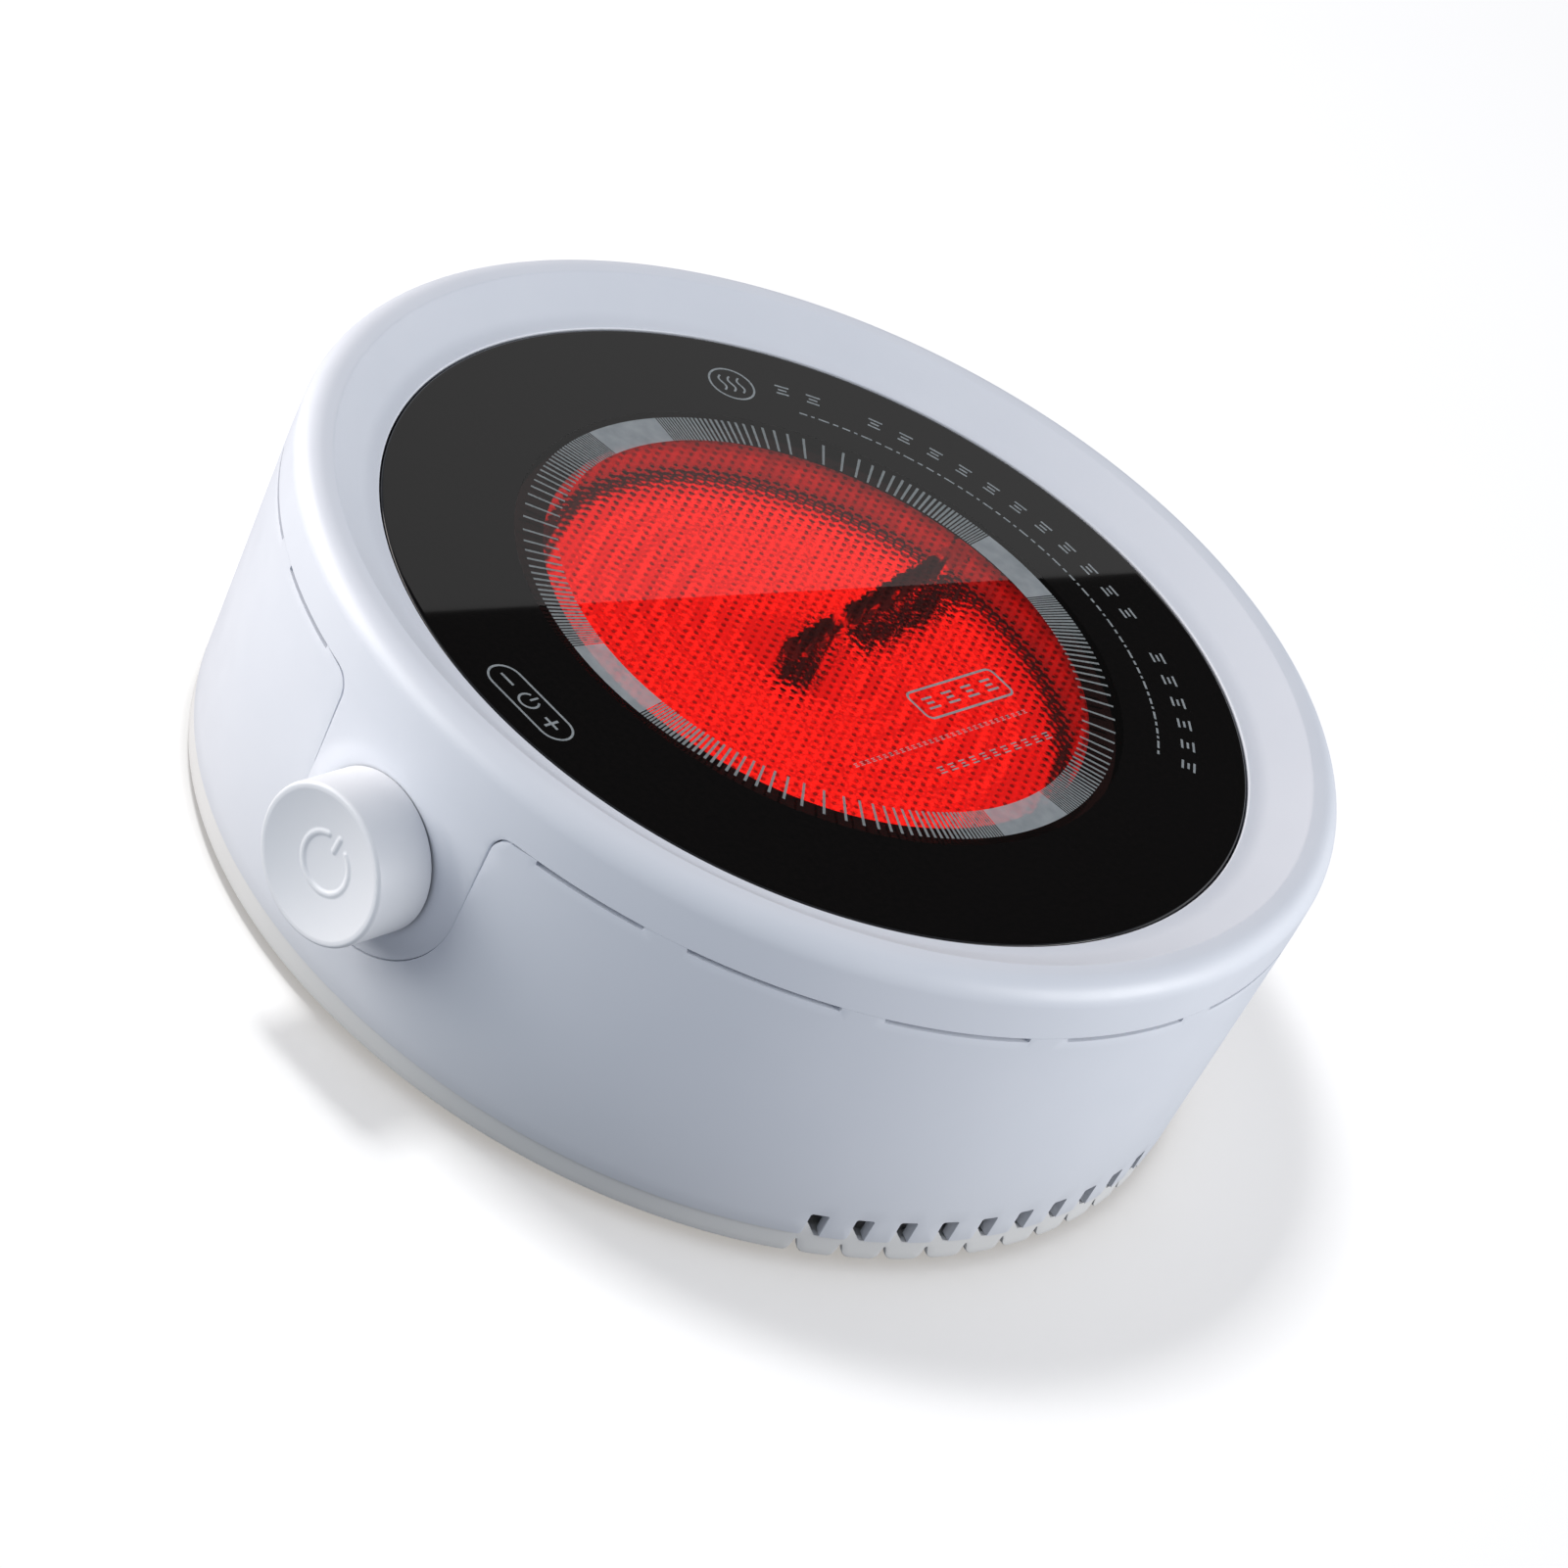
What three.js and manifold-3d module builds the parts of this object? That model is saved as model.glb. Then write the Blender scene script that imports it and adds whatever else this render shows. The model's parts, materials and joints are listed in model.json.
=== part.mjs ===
// Tabletop infrared hot plate: a white drum with a black glass-ceramic top and one push-and-turn knob.
// Millimetres, +Z up. The knob faces -Y and the cord gland faces +Y. The origin is on the surface
// that it stands on, midway between the knob's front face and the gland's back face.
import * as THREE from "three";
import { mergeVertices } from "three/addons/utils/BufferGeometryUtils.js";
import Module from "manifold-3d";

const wasm = await Module();
wasm.setup();

// ---- Driving dimensions -------------------------------------------------------------------
const GAP = 0.3; // between pieces that touch
const FOOT_HEIGHT = 2.5;
const SKIRT_BOTTOM = 7; // lower edge of the side skirt
const PARTING = 57.5; // joint between the upper shell and the skirt
const GLASS_TOP = 62.7;
const GLASS_THICK = 4;
const GLASS_RADIUS = 83;
const RIM_TOP = 68.7;
const RADIUS_AT_PARTING = 99.6;
const RADIUS_AT_BOTTOM = 98.3;
const WALL = 2.2;
const KNOB_Z = 36.8; // height of the knob axis
const KNOB_RADIUS = 13.7;
const KNOB_FRONT = 111.6; // distance of the knob's front face from the drum axis
const KNOB_BACK = 93;
const KNOB_HOLE = 14.8;
const KNOB_TRAVEL = 1.5; // how far a press moves the knob
const BOSS_FACE = 99;
const CUP_SEAT = 91; // floor of the cup that the knob sits in
const CUP_REAR = 89;
const APRON_HALF = 19.3; // half width of the apron, and the radius of its round end
const APRON_FLARE = 4; // radius of the corners where the apron meets the parting line
const SLIT_PITCH = 20; // degrees
const SLIT_HALF = 7.8; // degrees
const SLIT_HEIGHT = 0.9;
const FIRST_SLIT = [16, 27.8]; // degrees from the knob, shortened beside the apron
const VENT_PITCH = 5; // degrees
const VENT_FIRST = 56.6; // degrees from the knob
const VENT_COUNT = 10;
const VENT_WIDTH = 3.1;
const VENT_HEIGHT = 5.7;
const SCREW_RING = 89; // radius of the circle of housing screws
const POST_RADIUS = 4.3;
const PILOT_RADIUS = 1.8; // holes that a screw cuts its thread in
const CLEAR_RADIUS = 1.9; // holes that a screw passes
const SHANK_RADIUS = 1.5;
const POST_LOW = 12; // lower ends of the upper shell's screw posts
const FOOT_RING = 76;
const BRACKET_SCREW_X = 79;
const HEATER_RADIUS = 58;
const FIRE_RADIUS = 52.5; // inside of the fibre ring
const COIL_OUTER = 45.5;
const COIL_INNER = 11;
const COIL_TURNS = 7;
const RIBBON_THICK = 0.9;
const PAN_BOTTOM = 42.2;
const PAN_SHEET = 0.9;
const FIBRE_FLOOR = 51.1; // top of the fibre base
const LIMITER_ANGLE = 101; // degrees about Z
const GLAND_Z = 18;
const GLAND_BACK = 101; // distance of the gland's back face from the drum axis
const ROUND = 64; // facets of a full circle on the drum
const MIDDLE = 28;
const SMALL = 12;

const GLASS_UNDER = GLASS_TOP - GLASS_THICK;
const FIRE_FLOOR = FIBRE_FLOOR + GAP;
const FLOOR_TOP = FOOT_HEIGHT + 2; // inside of the bottom cover

// ---- Geometry helpers ---------------------------------------------------------------------
const rad = THREE.MathUtils.degToRad;

function cleaned(geometry) {
  const bare = geometry.index ? geometry.toNonIndexed() : geometry.clone();
  bare.deleteAttribute("normal");
  bare.deleteAttribute("uv");
  const merged = mergeVertices(bare, 1e-4);
  const from = merged.index.array;
  const corners = [];
  for (let i = 0; i < from.length; i += 3) {
    const [a, b, c] = [from[i], from[i + 1], from[i + 2]];
    if (a !== b && b !== c && c !== a) corners.push(a, b, c);
  }
  merged.setIndex(corners);
  if (signedVolume(merged) < 0) merged.setIndex(corners.reverse());
  return merged;
}

function signedVolume(geometry) {
  const place = geometry.attributes.position;
  const index = geometry.index.array;
  const [a, b, c] = [new THREE.Vector3(), new THREE.Vector3(), new THREE.Vector3()];
  let sum = 0;
  for (let i = 0; i < index.length; i += 3) {
    a.fromBufferAttribute(place, index[i]);
    b.fromBufferAttribute(place, index[i + 1]);
    c.fromBufferAttribute(place, index[i + 2]);
    sum += a.dot(b.cross(c));
  }
  return sum;
}

function toSolid(geometry) {
  const shape = cleaned(geometry);
  const vertProperties = new Float32Array(shape.attributes.position.array);
  const triVerts = new Uint32Array(shape.index.array);
  return new wasm.Manifold(new wasm.Mesh({ numProp: 3, vertProperties, triVerts }));
}

function toGeometry(solid) {
  const mesh = solid.getMesh();
  const geometry = new THREE.BufferGeometry();
  geometry.setAttribute("position", new THREE.BufferAttribute(mesh.vertProperties, 3));
  geometry.setIndex(new THREE.BufferAttribute(mesh.triVerts, 1));
  return geometry;
}

function combine({ add, cut = [] }) {
  let solid = toSolid(add[0]);
  for (const piece of add.slice(1)) solid = solid.add(toSolid(piece));
  for (const piece of cut) solid = solid.subtract(toSolid(piece));
  return toGeometry(solid);
}

// A body of revolution about Z. Points are [radius, z]; the outline closes on itself.
function turned(points, facets = ROUND) {
  const outline = points.map(([r, z]) => new THREE.Vector2(r, z));
  const onAxis = points[0][0] === 0 && points[points.length - 1][0] === 0;
  if (!onAxis) outline.push(outline[0].clone());
  return new THREE.LatheGeometry(outline, facets).rotateX(Math.PI / 2);
}

const disc = (radius, low, high, facets = MIDDLE) =>
  turned([[0, low], [radius, low], [radius, high], [0, high]], facets);

const ring = (inner, outer, low, high, facets = MIDDLE) =>
  turned([[inner, low], [outer, low], [outer, high], [inner, high]], facets);

const at = (geometry, x, y, z = 0) => geometry.translate(x, y, z);

const block = (x0, x1, y0, y1, z0, z1) =>
  new THREE.BoxGeometry(x1 - x0, y1 - y0, z1 - z0)
    .translate((x0 + x1) / 2, (y0 + y1) / 2, (z0 + z1) / 2);

// Turns a body made about Z, with z as the distance out from the drum axis, onto the knob axis.
const onKnobAxis = (geometry) => geometry.rotateX(Math.PI / 2).translate(0, 0, KNOB_Z);

// A slab with the plan of an arc: angles in degrees, measured from the knob.
function arcSlab(inner, outer, from, to, low, high) {
  const [a, b] = [rad(from - 90), rad(to - 90)];
  const shape = new THREE.Shape();
  shape.absarc(0, 0, outer, a, b, false);
  shape.absarc(0, 0, inner, b, a, true);
  shape.closePath();
  const curveSegments = Math.max(3, Math.round((to - from) / VENT_PITCH));
  return new THREE.ExtrudeGeometry(shape, { depth: high - low, bevelEnabled: false, curveSegments })
    .translate(0, 0, low);
}

function tube(points, radius, steps) {
  const path = new THREE.CatmullRomCurve3(points.map((p) => new THREE.Vector3(...p)));
  const section = new THREE.Shape().absarc(0, 0, radius, 0, 2 * Math.PI, false);
  return new THREE.ExtrudeGeometry(section, { steps, extrudePath: path, curveSegments: 4 });
}

// ---- Patterns shared by the shells --------------------------------------------------------
function slitRanges() {
  const ranges = [FIRST_SLIT, [360 - FIRST_SLIT[1], 360 - FIRST_SLIT[0]]];
  for (let middle = 2 * SLIT_PITCH; middle <= 360 - 2 * SLIT_PITCH; middle += SLIT_PITCH) {
    ranges.push([middle - SLIT_HALF, middle + SLIT_HALF]);
  }
  return ranges;
}

const slitCuts = (inner, outer, low, high) =>
  slitRanges().map(([from, to]) => arcSlab(inner, outer, from, to, low, high));

function ventAngles() {
  const angles = [];
  for (let i = 0; i < VENT_COUNT; i++) {
    const angle = VENT_FIRST + i * VENT_PITCH;
    angles.push(angle, -angle);
  }
  return angles;
}

const ventCuts = (width, low, high) =>
  ventAngles().map((angle) =>
    block(-width / 2, width / 2, -101, -91, low, high).rotateZ(rad(angle)));

const quarterPoints = (radius) =>
  [45, 135, 225, 315].map((angle) => [radius * Math.cos(rad(angle)), radius * Math.sin(rad(angle))]);

const bracketPoints = () => [-BRACKET_SCREW_X, BRACKET_SCREW_X];

// The apron's outline seen from the front, as [x, z]: straight sides, a round lower end and
// flared corners where it meets the parting line. It is cut through along Y.
function apronPrism(grow, top) {
  const half = APRON_HALF + grow;
  const flare = APRON_FLARE - grow;
  const flareX = APRON_HALF + APRON_FLARE;
  const flareZ = PARTING - GAP - APRON_FLARE;
  const shape = new THREE.Shape();
  shape.moveTo(-flareX, top);
  shape.lineTo(-flareX, flareZ + flare);
  shape.absarc(-flareX, flareZ, flare, Math.PI / 2, 0, true);
  shape.lineTo(-half, KNOB_Z);
  shape.absarc(0, KNOB_Z, half, Math.PI, 2 * Math.PI, false);
  shape.lineTo(half, flareZ);
  shape.absarc(flareX, flareZ, flare, Math.PI, Math.PI / 2, true);
  shape.lineTo(flareX, top);
  shape.closePath();
  return new THREE.ExtrudeGeometry(shape, { depth: 40, bevelEnabled: false, curveSegments: 10 })
    .rotateX(Math.PI / 2).translate(0, -70, 0);
}

function wallRadius(z) {
  const share = (z - SKIRT_BOTTOM) / (PARTING - SKIRT_BOTTOM);
  return RADIUS_AT_BOTTOM + share * (RADIUS_AT_PARTING - RADIUS_AT_BOTTOM);
}

// ---- Housing ------------------------------------------------------------------------------
function upperShell() {
  const lip = RADIUS_AT_PARTING - WALL - GAP; // tongue that slips inside the skirt
  const rim = turned([
    [RADIUS_AT_PARTING, PARTING], [99.5, 65.5], [98, 68], [96, RIM_TOP], [93.2, 68],
    [89.5, 65.8], [84.2, 63.2], [GLASS_RADIUS + GAP, 62.95], [GLASS_RADIUS + GAP, 57.3],
    [74.5, 57.3], [74.5, 55.3], [85.6, 55.3], [85.6, 61], [lip - 1.8, 65.2], [lip - 1.8, 53.5],
    [lip, 53.5], [lip, PARTING],
  ]);
  const apronWall = toSolid(turned([
    [wallRadius(14), 14], [RADIUS_AT_PARTING, PARTING + 1], [97.3, PARTING + 1], [96.2, 14],
  ])).intersect(toSolid(apronPrism(0, PARTING + 1)));
  const boss = onKnobAxis(turned([
    [KNOB_HOLE, BOSS_FACE], [16.4, BOSS_FACE], [18.2, 98.3], [19, 97.2], [19, 96], [17, 94.5],
    [17, CUP_REAR], [4.9, CUP_REAR], [4.9, CUP_SEAT], [KNOB_HOLE, CUP_SEAT],
  ], MIDDLE));
  const clearance = onKnobAxis(disc(KNOB_HOLE, CUP_SEAT, 105, MIDDLE));
  const housingPosts = quarterPoints(SCREW_RING).map(([x, y]) =>
    at(disc(POST_RADIUS, POST_LOW, 62.8, SMALL), x, y));
  const pilots = quarterPoints(SCREW_RING).map(([x, y]) => at(disc(PILOT_RADIUS, 10, 28, SMALL), x, y));
  const bracketPosts = bracketPoints().map((x) => at(disc(4, PAN_BOTTOM, 56, SMALL), x, 0));
  const bracketPilots = bracketPoints().map((x) => at(disc(PILOT_RADIUS, 40, 50, SMALL), x, 0));
  const shell = combine({
    add: [rim, toGeometry(apronWall), ...housingPosts, ...bracketPosts],
    cut: [clearance, ...slitCuts(94, 98.5, 55.4, PARTING)],
  });
  return combine({ add: [shell, boss], cut: [...pilots, ...bracketPilots] });
}

function sideSkirt() {
  const top = PARTING - GAP;
  const wall = turned([
    [RADIUS_AT_BOTTOM - WALL, SKIRT_BOTTOM], [RADIUS_AT_BOTTOM, SKIRT_BOTTOM],
    [wallRadius(top), top], [wallRadius(top) - WALL, top],
  ]);
  const glandHole = disc(5.4, 90, 102, SMALL).rotateX(-Math.PI / 2).translate(0, 0, GLAND_Z);
  const cuts = [
    apronPrism(GAP, top + 1),
    ...slitCuts(94, 102, PARTING - SLIT_HEIGHT, top + 1),
    ...ventCuts(VENT_WIDTH, SKIRT_BOTTOM - 1, SKIRT_BOTTOM + VENT_HEIGHT),
    glandHole,
  ];
  return combine({ add: [wall], cut: cuts });
}

function bottomCover() {
  const band = RADIUS_AT_BOTTOM - 0.4;
  const lip = RADIUS_AT_BOTTOM - WALL - GAP - 0.2;
  const dish = turned([
    [0, FOOT_HEIGHT], [band - 1, FOOT_HEIGHT], [band, FOOT_HEIGHT + 1], [band, SKIRT_BOTTOM - GAP],
    [lip, SKIRT_BOTTOM - GAP], [lip, 11], [lip - 1.8, 11], [lip - 1.8, FLOOR_TOP], [0, FLOOR_TOP],
  ]);
  const screwBosses = quarterPoints(SCREW_RING).map(([x, y]) =>
    at(disc(POST_RADIUS, 4, POST_LOW - GAP, SMALL), x, y));
  const holes = quarterPoints(SCREW_RING).flatMap(([x, y]) => [
    at(disc(CLEAR_RADIUS, 2, POST_LOW, SMALL), x, y),
    at(disc(3.9, 2, 5.4, SMALL), x, y),
  ]);
  const boardPosts = [[-77, -31], [-77, 33], [-41, -31], [-41, 33]].map(([x, y]) =>
    at(disc(3, 4, BOARD_LOW - GAP, 8), x, y));
  const fanPosts = [[-25, -25], [25, -25], [-25, 25], [25, 25]].map(([x, y]) =>
    at(disc(3, 4, FAN_LOW - GAP, 8), x, y));
  const grille = [];
  for (let i = 0; i < 18; i++) {
    grille.push(block(11, 27, -1.25, 1.25, 2, 5).rotateZ(rad(20 * i + 10)));
  }
  const notches = ventCuts(1.6, 2, 8);
  const lipWindows = ventCuts(VENT_WIDTH, 7.5, 12);
  return combine({
    add: [dish, ...screwBosses, ...boardPosts, ...fanPosts],
    cut: [...holes, ...grille, ...notches, ...lipWindows],
  });
}

function foot() {
  const top = FOOT_HEIGHT - 0.2;
  return turned([[0, 0], [5.6, 0], [6.5, 0.8], [6.5, top], [0, top]], 16);
}

const housingScrew = () =>
  turned([[0, 3], [3.4, 3], [3.4, 4.6], [SHANK_RADIUS, 5.1], [SHANK_RADIUS, 24], [0, 25]], SMALL);

const bracketScrew = () =>
  turned([[0, 36.2], [3.2, 36.2], [3.2, 38.2], [SHANK_RADIUS, 38.2], [SHANK_RADIUS, 48], [0, 49]], SMALL);

const cordGland = () => turned([
  [3.4, 91], [6.6, 91], [6.6, 95.4], [5, 95.4], [5, 98.9], [7.4, 98.9], [7.4, 100.2],
  [6.4, GLAND_BACK], [3.4, GLAND_BACK],
], SMALL).rotateX(-Math.PI / 2).translate(0, 0, GLAND_Z);

// ---- Glass and heater ---------------------------------------------------------------------
const glassPlate = () => turned([
  [0, GLASS_UNDER], [GLASS_RADIUS - 0.5, GLASS_UNDER], [GLASS_RADIUS, GLASS_UNDER + 0.5],
  [GLASS_RADIUS, GLASS_TOP - 0.5], [GLASS_RADIUS - 0.5, GLASS_TOP], [0, GLASS_TOP],
]);

const glassSeal = () => ring(75.5, 82.5, 57.6, GLASS_UNDER - GAP, 48);

function heaterPan() {
  const inside = HEATER_RADIUS + GAP;
  const outside = inside + PAN_SHEET;
  const floor = PAN_BOTTOM + PAN_SHEET;
  const rim = 53;
  return turned([
    [0, PAN_BOTTOM], [outside, PAN_BOTTOM], [outside, rim], [inside, rim], [inside, floor], [0, floor],
  ], 48);
}

const fibreBase = () => disc(HEATER_RADIUS, PAN_BOTTOM + PAN_SHEET + GAP, FIBRE_FLOOR, 48);

const limiterDirection = rad(LIMITER_ANGLE);

function fibreRing() {
  const wall = ring(FIRE_RADIUS, HEATER_RADIUS, FIRE_FLOOR, GLASS_UNDER - 0.5, 48);
  const slot = block(45, 62, -2.8, 2.8, 53.4, 59).rotateZ(limiterDirection);
  return combine({ add: [wall], cut: [slot] });
}

// A flat spiral of upright ribbon.
function heatingCoil() {
  const steps = COIL_TURNS * 18;
  const outer = [];
  const inner = [];
  for (let i = 0; i <= steps; i++) {
    const share = i / steps;
    const angle = share * COIL_TURNS * 2 * Math.PI;
    const radius = COIL_INNER + share * (COIL_OUTER - COIL_INNER);
    outer.push(new THREE.Vector2(radius * Math.cos(angle), radius * Math.sin(angle)));
    const inside = radius - RIBBON_THICK;
    inner.push(new THREE.Vector2(inside * Math.cos(angle), inside * Math.sin(angle)));
  }
  const shape = new THREE.Shape([...outer, ...inner.reverse()]);
  return new THREE.ExtrudeGeometry(shape, { depth: 2.2, bevelEnabled: false })
    .translate(0, 0, FIRE_FLOOR);
}

const limiterRod = () =>
  disc(2.1, -8, 59.8, 12).rotateY(Math.PI / 2).translate(0, 0, 56.2).rotateZ(limiterDirection);

const limiterHead = () => block(60.1, 73.4, -9, 9, 48, 58).rotateZ(limiterDirection);

const heaterTerminal = () => block(60.2, 71, -8, 8, 44, 54).rotateZ(rad(55));

function heaterBracket() {
  const strap = block(-83, 83, -7, 7, 40.7, 41.9);
  const holes = bracketPoints().map((x) => at(disc(CLEAR_RADIUS, 40, 43, SMALL), x, 0));
  return combine({ add: [strap], cut: holes });
}

function heatShield() {
  const [low, high] = [38.6, 39.4];
  const plate = disc(68, low, high, 48);
  const ears = block(-83, 83, -9, 9, low, high);
  const holes = bracketPoints().map((x) => at(disc(CLEAR_RADIUS, low - 1, high + 1, SMALL), x, 0));
  return combine({ add: [plate, ears], cut: holes });
}

// ---- Knob and encoder, along the knob axis -------------------------------------------------
function knobCap() {
  const body = turned([
    [11.9, KNOB_BACK], [KNOB_RADIUS, KNOB_BACK], [KNOB_RADIUS, KNOB_FRONT - 1], [13.3, KNOB_FRONT - 0.3],
    [12.6, KNOB_FRONT], [11.8, KNOB_FRONT - 0.15], [6, KNOB_FRONT - 0.9], [0, KNOB_FRONT - 1.1],
    [0, 108.6], [3.4, 108.6], [3.4, 96], [5, 96], [5, 107.4], [11.9, 107.4],
  ], MIDDLE);
  return onKnobAxis(body);
}

const DOME_TOP = 78.3;
const PLUNGER_REAR = DOME_TOP + KNOB_TRAVEL + 0.4;
const PLUNGER_FRONT = PLUNGER_REAR + 1.5;
const SHAFT_REAR = PLUNGER_FRONT + GAP;
const SHAFT_FRONT = 108.2;

const encoderShaft = () => onKnobAxis(turned([
  [0, SHAFT_REAR], [1.6, SHAFT_REAR], [1.6, 88.8], [3, 88.8], [3, SHAFT_FRONT], [0, SHAFT_FRONT],
], SMALL));

const encoderBushing = () => onKnobAxis(turned([
  [3.4, 87.6], [6.4, 87.6], [6.4, 88.7], [4.5, 88.7], [4.5, 94.4], [3.4, 94.4],
], 24));

const encoderNut = () => combine({
  add: [onKnobAxis(disc(6.4, 91.3, 93.3, 6))],
  cut: [onKnobAxis(disc(4.8, 90, 95, 24))],
});

function encoderHousing() {
  const box = onKnobAxis(block(-6.8, 6.8, -6.8, 6.8, 75.8, 87.3));
  const cavity = onKnobAxis(disc(5.6, 77.3, 90, 24));
  return combine({ add: [box], cut: [cavity] });
}

const encoderRotor = () => onKnobAxis(ring(2, 5.2, 82.6, 86.6, 24));

const switchPlunger = () => onKnobAxis(disc(3, PLUNGER_REAR, PLUNGER_FRONT, SMALL));

const switchDome = () => onKnobAxis(disc(4.2, DOME_TOP - 0.7, DOME_TOP, SMALL));

const controlBoard = () => block(-22, 22, -75.5, -73.9, 22, 50);

// ---- Electronics ---------------------------------------------------------------------------
const BOARD_LOW = 13;
const BOARD_THICK = 1.6;
const boardTop = BOARD_LOW + BOARD_THICK + GAP;

const mainBoard = () => block(-82, -36, -36, 38, BOARD_LOW, BOARD_LOW + BOARD_THICK);
const relay = () => block(-79, -61, -32, -17, boardTop, boardTop + 15);
const transformer = () => block(-79, -59, 6, 28, boardTop, boardTop + 16);
const capacitor = () => at(disc(6, boardTop, boardTop + 18, SMALL), -69, -7);
const fuse = () => disc(2.6, -10, 10, 12).rotateX(Math.PI / 2).translate(-54, 20, boardTop + 2.7);
const triac = () => block(-52.2, -42.2, -21.4, -17, boardTop, boardTop + 15);

function heatsink() {
  const base = block(-55, -39, -16.6, -14.6, boardTop, boardTop + 20);
  const fins = [0, 1, 2, 3, 4].map((i) =>
    block(-55 + i * 3.6, -53.4 + i * 3.6, -15, -7, boardTop, boardTop + 20));
  return combine({ add: [base, ...fins] });
}

function mainsTerminal() {
  const body = block(30, 54, 48, 60, FLOOR_TOP + GAP, FLOOR_TOP + 13);
  const wells = [34, 42, 50].map((x) => at(disc(1.8, 12, 20, 8), x, 54));
  return combine({ add: [body], cut: wells });
}

// ---- Fan -----------------------------------------------------------------------------------
const FAN_LOW = 7.5;
const FAN_HIGH = 22.5;

function fanFrame() {
  const frame = block(-30, 30, -30, 30, FAN_LOW, FAN_HIGH);
  const bore = disc(28.4, FAN_LOW - 1, FAN_HIGH + 1, MIDDLE);
  const motorSeat = disc(11, FAN_LOW, FAN_LOW + 2, 24);
  const struts = [0, 120, 240].map((angle) =>
    block(9, 29.5, -1.5, 1.5, FAN_LOW, FAN_LOW + 2).rotateZ(rad(angle)));
  const open = combine({ add: [frame], cut: [bore] });
  return combine({ add: [open, motorSeat, ...struts] });
}

function fanRotor() {
  const hub = disc(12, FAN_LOW + 2.5, FAN_HIGH - 0.5, 24);
  const blades = [];
  for (let i = 0; i < 7; i++) {
    blades.push(block(10, 27.4, -0.7, 0.7, -5.4, 5.4).rotateX(rad(38))
      .translate(0, 0, 16).rotateZ(rad(360 / 7 * i)));
  }
  return combine({ add: [hub, ...blades] });
}

function fanGuard() {
  const [low, high] = [FAN_HIGH + 0.4, FAN_HIGH + 1.8];
  const rings = [14, 27].map((r) => ring(r - 0.8, r + 0.8, low, high, 20));
  const bars = [45, 135].map((angle) => block(-38, 38, -1, 1, low, high).rotateZ(rad(angle)));
  return combine({ add: [...bars, ...rings] });
}

// ---- Wiring --------------------------------------------------------------------------------
const heaterLead = (side) => tube([
  [-50, 32 + 5 * side, boardTop + 2], [-50, 38 + 5 * side, 24], [-40, 56 + 4 * side, 34],
  [-4, 74 + 3 * side, 37], [28, 72 + 3 * side, 38], [38 + 3 * side, 60, 42.4],
], 1.1, 14);

const controlRibbon = () => tube([
  [-14, -72.4, 28], [-20, -66, 24], [-30, -56, 20], [-40, -46, 18], [-46, -33, boardTop + 1.4],
], 1.2, 10);

// ---- Assembly ------------------------------------------------------------------------------
// Every piece is drawn about the drum axis, and the group then sets the origin.
const assembly = new THREE.Group();
assembly.position.y = (KNOB_FRONT - GLAND_BACK) / 2;

const FINISH = {
  white: [0xe9ebf0, 0.42, 0],
  ivory: [0xdcdcdd, 0.5, 0],
  glass: [0x0a0a0b, 0.12, 0],
  silicone: [0xd8d8d6, 0.7, 0],
  rubber: [0x2a2a2c, 0.85, 0],
  steel: [0xb9bcc0, 0.35, 1],
  zinc: [0xa9adb2, 0.4, 1],
  fibre: [0xf0ece2, 0.95, 0],
  ribbon: [0xff2a18, 0.6, 0],
  ceramic: [0xeae6da, 0.6, 0],
  board: [0x1f6b3c, 0.5, 0],
  black: [0x1b1c1e, 0.5, 0],
  yellow: [0xd9b43a, 0.5, 0],
  lead: [0xcfcfca, 0.6, 0],
};

function place(name, geometry, finish, x = 0, y = 0, z = 0) {
  const [color, roughness, metalness] = FINISH[finish];
  const material = new THREE.MeshStandardMaterial({ color, roughness, metalness });
  const mesh = new THREE.Mesh(geometry, material);
  mesh.name = name;
  mesh.position.set(x, y, z);
  assembly.add(mesh);
}

place("upper_shell", upperShell(), "white");
place("side_skirt", sideSkirt(), "white");
place("bottom_cover", bottomCover(), "ivory");
place("cord_gland", cordGland(), "rubber");
quarterPoints(FOOT_RING).forEach(([x, y], i) => place(`foot_${i + 1}`, foot(), "rubber", x, y));
quarterPoints(SCREW_RING).forEach(([x, y], i) =>
  place(`housing_screw_${i + 1}`, housingScrew(), "zinc", x, y));

place("glass_plate", glassPlate(), "glass");
place("glass_seal", glassSeal(), "silicone");
place("heater_pan", heaterPan(), "steel");
place("fibre_base", fibreBase(), "fibre");
place("fibre_ring", fibreRing(), "fibre");
place("heating_coil", heatingCoil(), "ribbon");
place("limiter_rod", limiterRod(), "steel");
place("limiter_head", limiterHead(), "ceramic");
place("heater_terminal", heaterTerminal(), "ceramic");
place("heater_bracket", heaterBracket(), "steel");
place("heat_shield", heatShield(), "steel");
[-BRACKET_SCREW_X, BRACKET_SCREW_X].forEach((x, i) =>
  place(`bracket_screw_${i + 1}`, bracketScrew(), "zinc", x, 0));

place("knob_cap", knobCap(), "white");
place("encoder_shaft", encoderShaft(), "steel");
place("encoder_bushing", encoderBushing(), "steel");
place("encoder_nut", encoderNut(), "zinc");
place("encoder_housing", encoderHousing(), "black");
place("encoder_rotor", encoderRotor(), "black");
place("switch_plunger", switchPlunger(), "black");
place("switch_dome", switchDome(), "steel");
place("control_board", controlBoard(), "board");

place("main_board", mainBoard(), "board");
place("relay", relay(), "black");
place("transformer", transformer(), "yellow");
place("capacitor", capacitor(), "black");
place("fuse", fuse(), "ceramic");
place("triac", triac(), "black");
place("heatsink", heatsink(), "steel");
place("mains_terminal", mainsTerminal(), "ceramic");

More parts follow.
